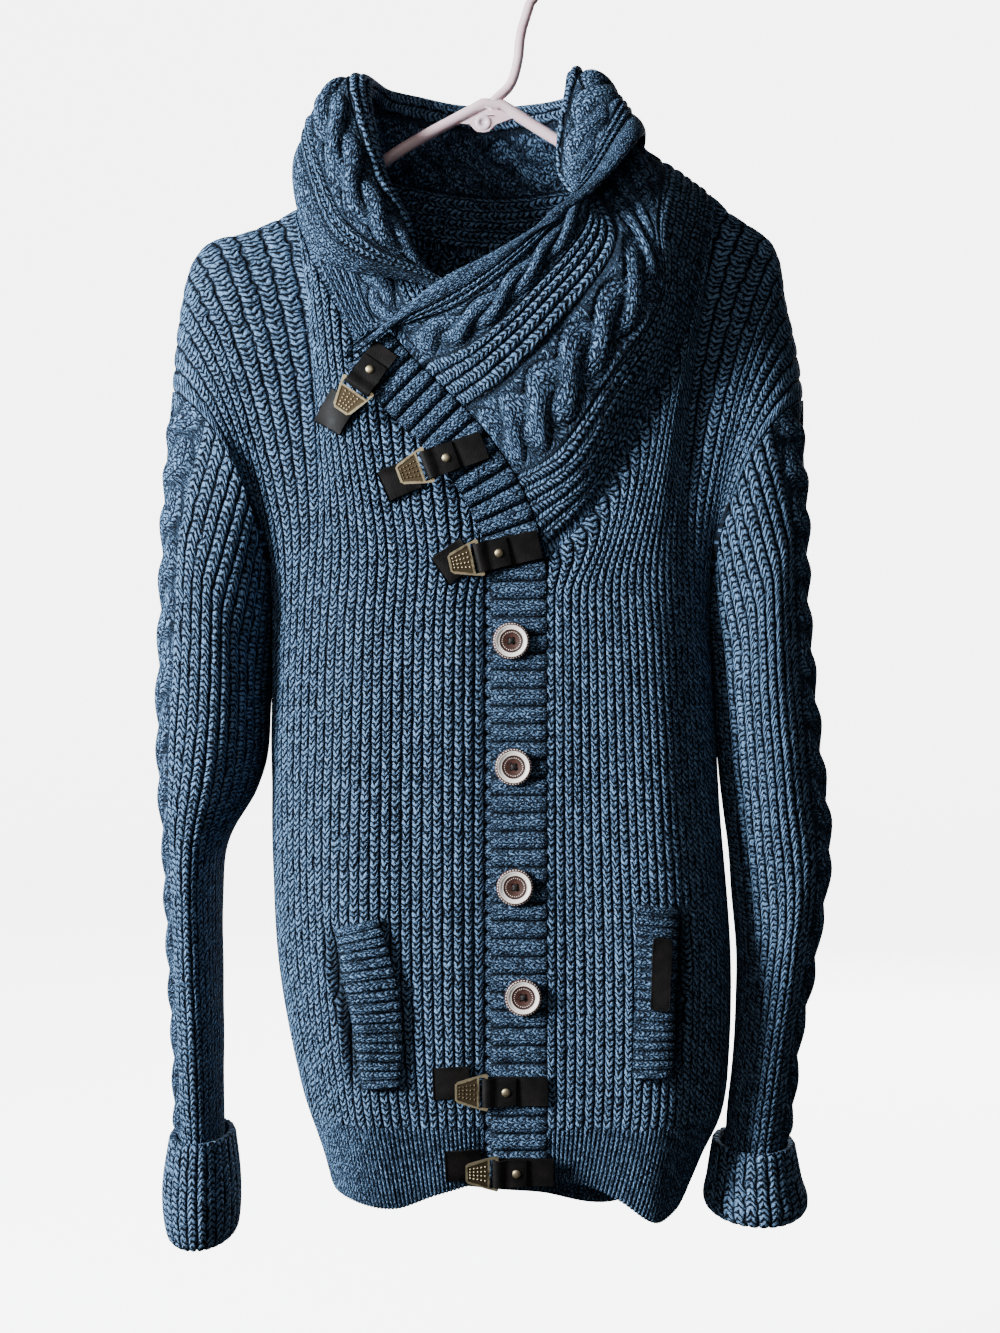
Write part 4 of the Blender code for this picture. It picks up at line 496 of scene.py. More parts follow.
def cut_until(path, x):
    """Part of a row up to x, turned round so that it starts there."""
    kept = [p for p in path if p.x < x]
    after = path[len(kept)]
    t = (x - kept[-1].x) / (after.x - kept[-1].x)
    kept.append(kept[-1].lerp(after, t))
    kept.reverse()
    return kept


def front_depth(x, height):
    return cut_from(half_section(height, -1), x)[0].y


def left_front_row(height):
    return cut_from(half_section(height, -1), BAND_X + BAND_HALF + SEAM_GAP)


def right_front_row(height):
    edge = UNDER_BAND_X - BAND_HALF - SEAM_GAP
    path = cut_until(half_section(height, -1), edge)
    for p in path:
        near = 1 - min((edge - p.x) / TUCK_REACH, 1.0)
        p.y += UNDER_STEP * near**2
    return path


def back_row(height):
    return half_section(height, 1)


# ==========================================================
# Collar surface
# ==========================================================
SEAM_POINTS = [Vector(row[0]) for row in COLLAR] + [Vector(LEFT_V)]
SEAM_OUT = [Vector(row[1]).normalized() for row in COLLAR] + [Vector((0, -1, 0))]


def over_band_path():
    heights = (-852.0, HEM_SEAM, -705.0, -590.0, UNDERARM)
    points = [Vector((BAND_X, front_depth(BAND_X, h), h)) for h in heights]
    return smooth_path(points + [Vector(p) for p in SLANT], 3.0)


BAND_PATH = over_band_path()
BAND_KNOTS = chord_knots(BAND_PATH)


def band_at(distance):
    """Middle of the over band, its way up and its way across, at a distance."""
    point = linear(BAND_KNOTS, BAND_PATH, distance)
    ahead = linear(BAND_KNOTS, BAND_PATH, min(distance + 8, BAND_KNOTS[-1]))
    behind = linear(BAND_KNOTS, BAND_PATH, max(distance - 8, 0))
    run = ahead - behind
    up = Vector((run.x, 0, run.z)).normalized()
    return point, up, Vector((up.z, 0, -up.x))


class Collar:
    """Middle surface of the collar by share across and place along."""

    def __init__(self):
        self.start = self.slant_start()
        self.sections = self.control_rows()
        self.knots = [0.0]
        for a, b in zip(self.sections, self.sections[1:]):
            gap = sum((b[c] - a[c]).length for c in (0, 3, 5)) / 3
            self.knots.append(self.knots[-1] + gap)

    @staticmethod
    def slant_start():
        """Distance along the band where its inner edge passes the neckline's foot."""
        distance = BAND_KNOTS[-1] * 0.5
        while distance < BAND_KNOTS[-1]:
            point, _, across = band_at(distance)
            if (point + across * BAND_HALF).z > LEFT_V[2] + 2:
                break
            distance += 1.0
        return distance

    def control_rows(self):
        sections = []
        for row in COLLAR:
            points = [Vector(v) for v in row]
            middle = points[0] - points[1].normalized() * WALL / 2
            towards = (points[2] - middle).normalized()
            sections.append([middle + towards * SEAM_GAP] + points[2:])
        last = [Vector(LEFT_V) + Vector((-0.2, WALL / 2, 1.0))]
        for share in COLLAR_SHARES[1:-1]:
            near = mix(self.start, BAND_KNOTS[-1], share / COLLAR_SHARES[-2])
            point, up, across = band_at(near)
            last.append(point + across * (BAND_HALF + 1.0) + Vector((0, WALL / 2, 0)))
        roll = up * (WALL / 2 + 1.5) + Vector((0, -3, 0))
        last.append(point - across * BAND_HALF + roll)
        last[-2] += roll
        sections.append(last)
        return sections

    def row(self, along, shares):
        """Points across the collar at one place along it."""
        control = row_between(self.knots, self.sections, along)
        if along > self.knots[-1] - 0.01:
            return [
                self.beside_band(share)
                if share <= COLLAR_SHARES[-2]
                else rounded(COLLAR_SHARES, control, share)
                for share in shares
            ]
        return [
            self.sewn(along, control) if share == 0
            else rounded(COLLAR_SHARES, control, share)
            for share in shares
        ]

    def sewn(self, along, control):
        """First point of a row, just inside the neck seam."""
        point = through(self.knots, SEAM_POINTS, along)
        outward = through(self.knots, SEAM_OUT, along).normalized()
        towards = (control[1] - point).normalized()
        return point - outward * WALL / 2 - towards * SEAM_TUCK

    def beside_band(self, share):
        near = mix(self.start, BAND_KNOTS[-1], share / COLLAR_SHARES[-2])
        point, up, across = band_at(near)
        lift = smoothstep((share - 0.6) / 0.16)
        point += across * (BAND_HALF + 1.0) + Vector((0, WALL / 2 - 3 * lift, 0))
        return point + up * (WALL / 2 + 1.5) * lift

    def seam(self, first, last, count):
        """Points along the neck seam, closest where it runs across the ribs."""
        low, high = self.knots[first], self.knots[last]
        steps = 240
        stops = [mix(low, high, k / steps) for k in range(steps + 1)]
        points = [through(self.knots, SEAM_POINTS, stop) for stop in stops]
        outward = [through(self.knots, SEAM_OUT, stop) for stop in stops]
        weight = [0.0]
        for a, b in zip(points, points[1:]):
            weight.append(weight[-1] + abs(b.x - a.x) + 0.1 * (b - a).length)
        spots = [weight[-1] * k / count for k in range(count + 1)]
        return (
            [linear(weight, points, spot) for spot in spots],
            [linear(weight, outward, spot).normalized() for spot in spots],
        )


COLLAR_FORM = Collar()


# ==========================================================
# Grids of the cloth's outside
# ==========================================================
class Cloth:
    """Grid of base points and outward directions, with relief, shade and stitches."""

    def __init__(self, base, around=False, facing=None, reach=(9, 3)):
        self.base = base
        self.rows = len(base) - 1
        self.columns = len(base[0]) - 1
        self.around = around
        self.outward = self.directions(reach, facing)
        # Each grid point keeps its relief, the give of its inside and a painted shade that
        # darkens its colour in grooves and dips.
        self.rise, self.inside, self.painted_shade = (
            [[0.0] * (self.columns + 1) for _ in base] for _ in range(3)
        )
        ribs = [j / RIB_STEPS * RIB_PITCH for j in range(self.columns + 1)]
        self.across = [list(ribs) for _ in base]
        self.along = column_runs(base)
        self.fine = [False] * (self.columns + 1)

    def directions(self, reach, facing):
        over, up = reach
        found = []
        for i in range(self.rows + 1):
            low, high = self.base[max(i - up, 0)], self.base[min(i + up, self.rows)]
            line = []
            for j in range(self.columns + 1):
                if self.around:
                    a = self.base[i][(j - over) % self.columns]
                    b = self.base[i][(j + over) % self.columns]
                else:
                    a = self.base[i][max(j - over, 0)]
                    b = self.base[i][min(j + over, self.columns)]
                line.append((b - a).cross(high[j] - low[j]).normalized())
            found.append(line)
        i, j = self.rows // 2, self.columns // 2
        if facing and found[i][j].dot(facing(self.base[i][j])) < 0:
            found = [[-v for v in line] for line in found]
        return found

    def ease_edge(self, column, direction_at, reach=8):
        """Turn the directions near an edge column towards the seam's own."""
        side = 1 if column == 0 else -1
        for i in range(self.rows + 1):
            edge = direction_at(i)
            for k in range(reach):
                j = column + side * k
                share = smoothstep(k / reach)
                self.outward[i][j] = mix(edge, self.outward[i][j], share).normalized()

    def at(self, share, level):
        """Outside point at a share across and a share of the way up."""
        level *= self.rows
        i = min(int(level), self.rows - 1)
        j = min(int(share * self.columns), self.columns - 1)
        t, u = level - i, share * self.columns - j
        low = self.base[i][j].lerp(self.base[i][j + 1], u)
        high = self.base[i + 1][j].lerp(self.base[i + 1][j + 1], u)
        return low.lerp(high, t)

    def find(self, x, z):
        """Outside point of the cloth's flat face nearest to x and z."""
        best, place = None, None
        low_u, high_u, low_v, high_v = 0.0, 1.0, 0.0, 1.0
        for _ in range(7):
            for a in range(13):
                u = mix(low_u, high_u, a / 12)
                for b in range(13):
                    v = mix(low_v, high_v, b / 12)
                    p = self.at(u, v)
                    off = (p.x - x) ** 2 + (p.z - z) ** 2
                    if best is None or off < best:
                        best, place = off, (u, v)
            span_u, span_v = (high_u - low_u) / 8, (high_v - low_v) / 8
            low_u, high_u = max(place[0] - span_u, 0), min(place[0] + span_u, 1)
            low_v, high_v = max(place[1] - span_v, 0), min(place[1] + span_v, 1)
        return self.at(*place)


def respaced(row, evenness):
    """The same line with its points moved towards even spacing."""
    knots = chord_knots(row)
    count = len(row) - 1
    shares = [
        mix(knots[j] / knots[-1], j / count, evenness) for j in range(count + 1)
    ]
    return sampled(row, shares)


def bezier(p0, p1, p2, p3, t):
    s = 1 - t
    return p0 * s**3 + p1 * (3 * s * s * t) + p2 * (3 * s * t * t) + p3 * t**3


def ridge(table):
    """Shoulder ridge from neck to armhole."""
    return smooth_path([Vector((x, 0, z)) for x, z in table])


def ring_point(row, angle, bow=0.0):
    """Point of a sleeve section; angle 0 is the outer line, 90 degrees the front."""
    outer_x, outer_z, inner_x, inner_z, half_depth = row
    middle = Vector(((outer_x + inner_x) / 2, 0, (outer_z + inner_z) / 2))
    reach = Vector(((outer_x - inner_x) / 2, 0, (outer_z - inner_z) / 2))
    c, s = math.cos(angle), math.sin(angle)
    point = middle + reach * c + Vector((0, -half_depth * s, 0))
    towards_body = Vector((-math.copysign(1, outer_x), 0, 1.2)).normalized()
    return point + towards_body * bow * s * s


def armhole_outward(table, front, step):
    side = math.copysign(1, table[0][0])
    angle = math.pi * (1 - step / UPPER_ROWS) * (1 if front else -1)
    c, s = math.cos(angle), math.sin(angle)
    return Vector((side * abs(c), -s, 0.3 * min(c, 0))).normalized()


def armhole(table, front):
    """Half of an armhole from the underarm to the ridge."""
    points = []
    for k in range(UPPER_ROWS + 1):
        angle = math.pi * (1 - k / UPPER_ROWS) * (1 if front else -1)
        point = ring_point(table[0], angle, ARMHOLE_BOW)
        point.y += -SEAM_GAP / 2 if front else SEAM_GAP / 2
        points.append(point)
    return points


def front_top(first, last, ridge_table):
    """Top of a front and the way its cloth arrives there."""
    crest = ridge(ridge_table)
    split = FRONT_NECK_RIBS * RIB_STEPS
    count = FRONT_RIBS * RIB_STEPS
    points, _ = COLLAR_FORM.seam(first, last, split)
    up_seam = (points[-1] - points[-10]).normalized()
    points += sampled(crest, [k / (count - split) for k in range(1, count - split + 1)])
    arriving = []
    for j in range(count + 1):
        if j <= split:
            way = mix(Vector((0, 0.1, 1)), up_seam, (j / split) ** 2)
        else:
            way = mix(up_seam, Vector((0, 1, 0)), smoothstep((j - split) / SHOULDER_TURN))
        arriving.append(way.normalized())
    return [p - way * SEAM_GAP / 2 for p, way in zip(points, arriving)], arriving


def back_top():
    """Top of the back: right ridge, back neckline, left ridge."""
    split = (BACK_RIBS - BACK_NECK_RIBS) * RIB_STEPS // 2
    neck, _ = COLLAR_FORM.seam(NECK_RIGHT_ROW, NECK_LEFT_ROW, BACK_NECK_RIBS * RIB_STEPS)
    shares = [k / split for k in range(split + 1)]
    points = sampled(ridge(RIDGE_RIGHT)[::-1], shares[:-1])
    points += neck + sampled(ridge(RIDGE_LEFT), shares[1:])
    over_neck, over_ridge = Vector((0, -0.45, 0.9)), Vector((0, -1, 0))
    arriving = []
    count = len(points) - 1
    for j in range(count + 1):
        outside = max(split - j, j - count + split, 0)
        way = mix(over_neck, over_ridge, smoothstep(outside / SHOULDER_TURN))
        arriving.append(way.normalized())
    return [p - way * SEAM_GAP / 2 for p, way in zip(points, arriving)], arriving


def panel_base(row_at, top, arriving, edges):
    """Rows of outside points: level below the underarm, smooth columns above."""
    count = len(top) - 1
    first, last = edges
    lower = round((UNDERARM - HEM_SEAM) / STITCH_PITCH)
    base = [
        evenly(row_at(mix(HEM_SEAM, UNDERARM, k / lower)), count)
        for k in range(lower + 1)
    ]
    underarm = base[-1]
    for step in range(1, UPPER_ROWS + 1):
        t = step / UPPER_ROWS
        row = []
        for j in range(count + 1):
            span = (top[j] - underarm[j]).length
            low = underarm[j] + Vector((0, 0, 0.35 * span))
            high = top[j] - arriving[j] * min(0.35 * span, 26.0)
            row.append(bezier(underarm[j], low, high, top[j], t))
        off_last = last[step] - row[-1] if last else None
        off_first = first[step] - row[0] if first else None
        for j in range(count + 1):
            share = j / count
            if last:
                row[j] = row[j] + off_last * share**4
            if first:
                row[j] = row[j] + off_first * (1 - share) ** 4
        base.append(respaced(row, 1 - t * t) if t < 1 else row)
    return base, lower


def column_runs(base):
    """Distance up each column of a grid, row by row."""
    runs = [[0.0] * len(base[0])]
    for low, high in zip(base, base[1:]):
        runs.append([r + (b - a).length for r, a, b in zip(runs[-1], low, high)])
    return runs


def away_from_body(point):
    return Vector((point.x * 0.3, point.y, 0))


def rib_profile(t):
    """Height of one rib across itself, from -1 in the groove to 0 on the crest."""
    return -abs(2 * t - 1) ** RIB_SQUARE


def soft_crease(p):
    """Uneven hang of heavy knit: broad upright waves and small dents."""
    wide, deep, tall = BROAD_WAVES
    broad = noise.noise(Vector((p.x * wide, p.y * deep, p.z * tall)))
    wide, deep, tall = SMALL_DENTS
    small = noise.noise(Vector((p.x * wide + 7, p.y * deep, p.z * tall)))
    return BROAD_HEIGHT * broad + DENT_HEIGHT * small


def near_edge(k, count, reach):
    """0 on an edge of the grid, rising to 1 at reach steps inside."""
    return smoothstep(min(k, count - k) / reach)


def rib_panel(cloth, depth, creases=1.0, steps=RIB_STEPS):
    """Ribs up the cloth, each some grid columns wide, and its hanging folds."""
    for i in range(cloth.rows + 1):
        row = cloth.base[i]
        for j in range(cloth.columns + 1):
            a, b = row[max(j - 1, 0)], row[min(j + 1, cloth.columns)]
            room = smoothstep(((b - a).length / 2 * RIB_STEPS - 2.0) / 4.0)
            groove = rib_profile((j % steps) / steps)
            rib = groove * depth * room
            # Painted shade, darker in the groove between ribs.
            cloth.painted_shade[i][j] = -PAINTED_RIB_SHADE * groove
            if steps != RIB_STEPS:
                cloth.across[i][j] = j / steps * FINE_WALE
            hang = soft_crease(row[j]) * creases
            hang *= near_edge(j, cloth.columns, 14) * near_edge(i, cloth.rows, 8)
            cloth.rise[i][j] = rib + hang
            cloth.inside[i][j] = -hang


def run_on(base, rounds=30):
    """Let the columns of stitches run on smoothly past the foot of the armhole."""
    rows, columns = len(base) - 1, len(base[0]) - 1
    for _ in range(rounds):
        before = [[point.copy() for point in row] for row in base]
        for i in range(1, rows):
            for j in range(columns + 1):
                share = 0.5 * near_edge(i, rows, 8) * near_edge(j, columns, 12)
                middle = (before[i - 1][j] + before[i + 1][j]) / 2
                base[i][j] = before[i][j].lerp(middle, share)


PANELS = {}


def panel(name):
    """One of the three body panels, worked out once."""
    if name in PANELS:
        return PANELS[name]
    foot = len(SEAM_POINTS) - 1
    made = {
        "left_front_panel": (
            left_front_row, front_top(foot, NECK_LEFT_ROW, RIDGE_LEFT),
            (None, SLEEVE_LEFT), True,
        ),
        "right_front_panel": (
            right_front_row, front_top(0, NECK_RIGHT_ROW, RIDGE_RIGHT),
            (None, SLEEVE_RIGHT), True,
        ),
        "back_panel": (back_row, back_top(), (SLEEVE_RIGHT, SLEEVE_LEFT), False),
    }[name]
    row_at, (top, arriving), tables, front = made
    edges = [armhole(table, front) if table else None for table in tables]
    base, lower = panel_base(row_at, top, arriving, edges)
    run_on(base)
    cloth = Cloth(base, facing=away_from_body)
    for column, table in ((0, tables[0]), (cloth.columns, tables[1])):

        def seam_direction(i, table=table):
            if table is None:
                return Vector((0, -1, 0))
            if i < lower:
                return Vector((math.copysign(1, table[0][0]), 0, 0))
            return armhole_outward(table, front, i - lower)

        cloth.ease_edge(column, seam_direction)
    rib_panel(cloth, RIB_DEPTH)
    PANELS[name] = cloth
    return cloth


# ==========================================================
# Meshes
# ==========================================================
def parametric_slab(columns, rows, around):
    """Unit grid with a second face one unit above it: u and v across, side up."""
    bm = bmesh.new()
    bmesh.ops.create_grid(bm, x_segments=columns, y_segments=rows, size=0.5)
    bmesh.ops.translate(bm, verts=bm.verts, vec=(0.5, 0.5, 0))
    lifted = bmesh.ops.extrude_face_region(bm, geom=bm.faces[:])
    inner = [v for v in lifted["geom"] if isinstance(v, bmesh.types.BMVert)]
    bmesh.ops.translate(bm, verts=inner, vec=(0, 0, 1))
    if around:
        ends = [
            face for face in bm.faces
            if all(v.co.x < 1e-4 for v in face.verts)
            or all(v.co.x > 1 - 1e-4 for v in face.verts)
        ]
        bmesh.ops.delete(bm, geom=ends, context="FACES")
    return bm


def bend_cloth(cloth, wall=WALL, centred=False):
    """Knitted shell: the slab bent onto the cloth's grid, with its relief."""
    bm = parametric_slab(cloth.columns, cloth.rows, cloth.around)
    uv = bm.loops.layers.uv.new("Stitches")
    # Each vertex carries the painted shade for the wool's colour.
    painted_shade = bm.verts.layers.float.new("PaintedShade")
    for face in bm.faces:
        for loop in face.loops:
            j = round(loop.vert.co.x * cloth.columns)
            i = round(loop.vert.co.y * cloth.rows)
            loop[uv].uv = (cloth.across[i][j] * MM, cloth.along[i][j] * MM)
        middle = sum(vert.co.x for vert in face.verts) / len(face.verts)
        face.material_index = cloth.fine[min(int(middle * cloth.columns), cloth.columns)]
    for vert in bm.verts:
        i = round(vert.co.y * cloth.rows)
        j = round(vert.co.x * cloth.columns)
        out = cloth.outward[i][j]
        vert[painted_shade] = cloth.painted_shade[i][j]
        if vert.co.z < 0.5:
            depth = (-wall / 2 if centred else 0.0) - cloth.rise[i][j]
        else:
            depth = (wall / 2 if centred else wall) + cloth.inside[i][j]
        vert.co = (cloth.base[i][j] - out * depth) * MM
    bmesh.ops.remove_doubles(bm, verts=bm.verts, dist=1e-7)
    return bm


def finish_mesh(name, bm, materials, nodes, smooth_angle=60):
    """Turn a closed bmesh into a piece that rides on the body in place of its nodes."""
    bmesh.ops.recalc_face_normals(bm, faces=bm.faces)
    if bm.calc_volume(signed=True) < 0:
        bmesh.ops.reverse_faces(bm, faces=bm.faces)
    mesh = bpy.data.meshes.new(name)
    bm.to_mesh(mesh)
    bm.free()
    mesh.shade_smooth()
    mesh.set_sharp_from_angle(angle=math.radians(smooth_angle))
    piece = bpy.data.objects.new(name, mesh)
    bpy.context.scene.collection.objects.link(piece)
    for material in materials:
        mesh.materials.append(material)
    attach(piece, "root")
    if nodes:
        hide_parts(*nodes)
    return piece


def carve(bm, cutter):
    """Cut one closed bmesh out of another."""
    meshes = []
    for part in (bm, cutter):
        mesh = bpy.data.meshes.new("carving")
        part.to_mesh(mesh)
        part.free()
        meshes.append(bpy.data.objects.new("carving", mesh))
        bpy.context.scene.collection.objects.link(meshes[-1])
    body, tool = meshes
    cut = body.modifiers.new("cut", "BOOLEAN")
    cut.operation = "DIFFERENCE"
    cut.solver = "EXACT"
    cut.object = tool
    graph = bpy.context.evaluated_depsgraph_get()
    done = bmesh.new()
    done.from_mesh(body.evaluated_get(graph).to_mesh())
    for thing in meshes:
        bpy.data.objects.remove(thing, do_unlink=True)
    return done


# ==========================================================
# Materials
# ==========================================================
def linear_colour(code):
    """Linear RGBA of an sRGB hex value."""
    found = []
    for k in (0, 2, 4):
        c = int(code[k : k + 2], 16) / 255
        found.append(c / 12.92 if c <= 0.04045 else ((c + 0.055) / 1.055) ** 2.4)
    return (*found, 1.0)


def add_node(tree, kind, inputs=(), output=0, stops=(), **settings):
    """Add a node with its settings, its inputs' values or links and its colour stops."""
    node = tree.nodes.new("ShaderNode" + kind)
    for key, value in settings.items():
        setattr(node, key, value)
    for key, value in inputs.items() if isinstance(inputs, dict) else enumerate(inputs):
        if isinstance(value, bpy.types.NodeSocket):
            tree.links.new(value, node.inputs[key])
        else:
            node.inputs[key].default_value = value
    for k, (position, code) in enumerate(stops):
        elements = node.color_ramp.elements
        element = elements[k] if k < 2 else elements.new(1.0)
        element.position, element.color = position, linear_colour(code)
    return node.outputs[output]


def new_material(name, **values):
    """Principled material with its fixed socket values."""
    material = bpy.data.materials.new(name)
    material.use_nodes = True
    shader = material.node_tree.nodes["Principled BSDF"]
    for key, value in values.items():
        shader.inputs[key.replace("_", " ")].default_value = value
    return material, material.node_tree, shader


def dress(tree, shader, colour, height, strength, distance, roughness=None):
    """Link a finished colour, relief and roughness to a material's shader."""
    bump = add_node(
        tree, "Bump", {"Height": height, "Strength": strength, "Distance": distance * MM}
    )
    tree.links.new(colour, shader.inputs["Base Color"])
    tree.links.new(bump, shader.inputs["Normal"])
    if roughness:
        tree.links.new(roughness, shader.inputs["Roughness"])


def made_once(make):
    """Keep one material of each kind, however many pieces ask for it."""

    def kept(settings):
        if make.__name__ not in MATERIALS:
            MATERIALS[make.__name__] = make(settings)
        return MATERIALS[make.__name__]

    return kept


MATERIALS = {}


def stitched_wool(settings, name, wale_width, row_height, openness, relief, depth):
    """Wool knit: two legs to a stitch, painted shade in the holes between them, plies of two
    colours.
    """
    material, tree, shader = new_material(name, Roughness=0.9, Specular_IOR_Level=0.2)
    even = add_node(tree, "UVMap", uv_map="Stitches")
    # Knitting and wear pull the stitches up to a millimetre out of line over 8 mm.
    sway = add_node(tree, "TexNoise", {"Vector": even, "Scale": 120.0, "Detail": 2.0},
                    "Color", noise_dimensions="2D")
    sway = add_node(tree, "VectorMath", (sway, (0.5, 0.5, 0.5)), operation="SUBTRACT")
    place = add_node(tree, "VectorMath", (sway, (3.6 * MM, 4.4 * MM, 0.0), even),
                     operation="MULTIPLY_ADD")
    axes = add_node(tree, "SeparateXYZ", (place,)).node.outputs
    wales = add_node(tree, "Math", (axes["X"], 1 / (wale_width * MM)), operation="MULTIPLY")
    wale = add_node(tree, "Math", (wales,), operation="FRACT")
    tilt = add_node(tree, "Math", (wale, 2.0, -1.0), operation="MULTIPLY_ADD")
    side = add_node(tree, "Math", (tilt,), operation="ABSOLUTE")
    # The left leg stands steeper than the right one.
    lean = add_node(tree, "Math", (tilt, -0.22), operation="MULTIPLY")
    lean = add_node(tree, "Math", (side, 0.85, lean), operation="MULTIPLY_ADD")
    rows = add_node(tree, "Math", (axes["Y"], 1 / (row_height * MM)), operation="MULTIPLY")
    rows = add_node(tree, "Math", (rows, lean), operation="SUBTRACT")
    phase = add_node(tree, "Math", (rows,), operation="FRACT")
    gap = add_node(tree, "Math", (phase, 2.0, -1.0), operation="MULTIPLY_ADD")
    gap = add_node(tree, "Math", (gap,), operation="ABSOLUTE")
    # Gaps are open holes at the middle of the wale and close towards its sides.
    closing = add_node(tree, "Math", (side, 4.0, 1.25), operation="MULTIPLY_ADD")
    gap = add_node(tree, "Math", (gap, closing), operation="POWER")
    groove = add_node(tree, "Math", (side, 6.0), operation="POWER")
    open_part = add_node(tree, "Math", (gap, groove), operation="MAXIMUM")
    plump = add_node(tree, "Math", (open_part, -openness, 1.0), operation="MULTIPLY_ADD")
    # No two legs show the same mix of dark and pale ply.
    legs = add_node(tree, "Math", (wales, 2.0), operation="MULTIPLY")
    legs = add_node(tree, "Math", (legs,), operation="FLOOR")
    count = add_node(tree, "Math", (rows,), operation="FLOOR")
    cell = add_node(tree, "CombineXYZ", (legs, count))
    chance = add_node(tree, "TexWhiteNoise", {"Vector": cell}, noise_dimensions="2D")
    # The twisted plies show as flecks a little over a millimetre long.
    fleck = add_node(
        tree, "TexNoise",
        {"Vector": place, "Scale": 900.0, "Detail": 3.0, "Roughness": 0.75},
        noise_dimensions="2D",
    )
    # A larger depth darkens the whole yarn; the closer knit is given more of it and so drawn
    # darker than the rib, painted shade.
    twist = add_node(tree, "Math", (chance, 0.3, -depth), operation="MULTIPLY_ADD")
    twist = add_node(tree, "Math", (fleck, 2.5, twist), operation="MULTIPLY_ADD")
    # The yarn's colour darkens in the gaps and the grooves between legs, painted shade; chance
    # and flecks give the plies' own marl.
    shade = add_node(tree, "Math", (plump, twist), operation="MULTIPLY")
    yarn = add_node(tree, "ValToRGB", (shade,), stops=(
        (0.1, settings.yarn_dark_and_shade), (1.05, settings.yarn_pale),
        (0.4, settings.yarn_middle), (0.72, settings.yarn_light),
    ))
    # Painted shade from grooves, dips and cable hollows pulls the yarn towards its darkest
    # colour.
    painted_shade = add_node(tree, "Attribute", output="Fac", attribute_name="PaintedShade")
    painted_shade_share = add_node(tree, "Math", (painted_shade, 0.8), operation="MULTIPLY")
    yarn = add_node(
        tree, "Mix", {"Factor": painted_shade_share, "A": yarn, "B": linear_colour(settings.yarn_dark_and_shade)},
        "Result", data_type="RGBA",
    )
    height = add_node(tree, "Math", (fleck, 0.35, plump), operation="MULTIPLY_ADD")
    dress(tree, shader, yarn, height, 1.0, relief)
    return material


@made_once
def rib_wool(settings):
    """Chunky half-cardigan rib of the body: open holes between plump legs."""
    return stitched_wool(settings, "marled_wool_rib_knit", RIB_PITCH, STITCH_ROW, 0.95, 2.6,
                         0.68)


@made_once
def smooth_wool(settings):
    """Closer plain knit of cables, rolled edge and bands: small shallow stitches, drawn darker
    than the rib as painted shade.
    """
    return stitched_wool(settings, "marled_wool_plain_knit", FINE_WALE, FINE_ROW, 0.7, 1.1,
                         0.84)


@made_once
def waxed_leather(settings):
    """Waxed cowhide: near black, with a fine pebbled grain and a dull shine."""
    material, tree, shader = new_material("waxed_cowhide", Specular_IOR_Level=0.15)
    place = add_node(tree, "TexCoord", output="Object")
    # Pebbles 1.1 mm across, coarser than real grain so that they show; wear over 8 mm.
    grain = add_node(tree, "TexVoronoi", {"Vector": place, "Scale": 900.0})
    wear = add_node(tree, "TexNoise", {"Vector": place, "Scale": 120.0, "Detail": 4.0})
    colour = add_node(tree, "ValToRGB", (wear,), stops=(
        (0.4, settings.leather_dark), (0.8, settings.leather_worn),
    ))
    rough = add_node(tree, "Math", (wear, 0.25, 0.5), operation="MULTIPLY_ADD")
    dress(tree, shader, colour, grain, 0.4, 0.3, rough)
    return material


@made_once
def antique_brass(settings):
    """Cast brass, dulled with age: browned in its hollows and rubbed paler on edges."""
    material, tree, shader = new_material("antique_brass", Metallic=1.0)
    place = add_node(tree, "TexCoord", output="Object")
    # Tarnish lies in patches 2 to 3 mm wide.
    tarnish = add_node(
        tree, "TexNoise", {"Vector": place, "Scale": 420.0, "Detail": 5.0, "Roughness": 0.65},
    )
    edge = add_node(tree, "NewGeometry", output="Pointiness")
    worn = add_node(tree, "Math", (edge, 3.0, -1.5), operation="MULTIPLY_ADD")
    worn = add_node(tree, "Math", (worn, tarnish), operation="ADD")
    colour = add_node(tree, "ValToRGB", (worn,), stops=(
        (0.25, settings.brass_dark), (0.62, settings.brass_bright),
    ))
    rough = add_node(tree, "Math", (tarnish, 0.3, 0.34), operation="MULTIPLY_ADD")
    dress(tree, shader, colour, tarnish, 0.25, 0.2, rough)
    return material


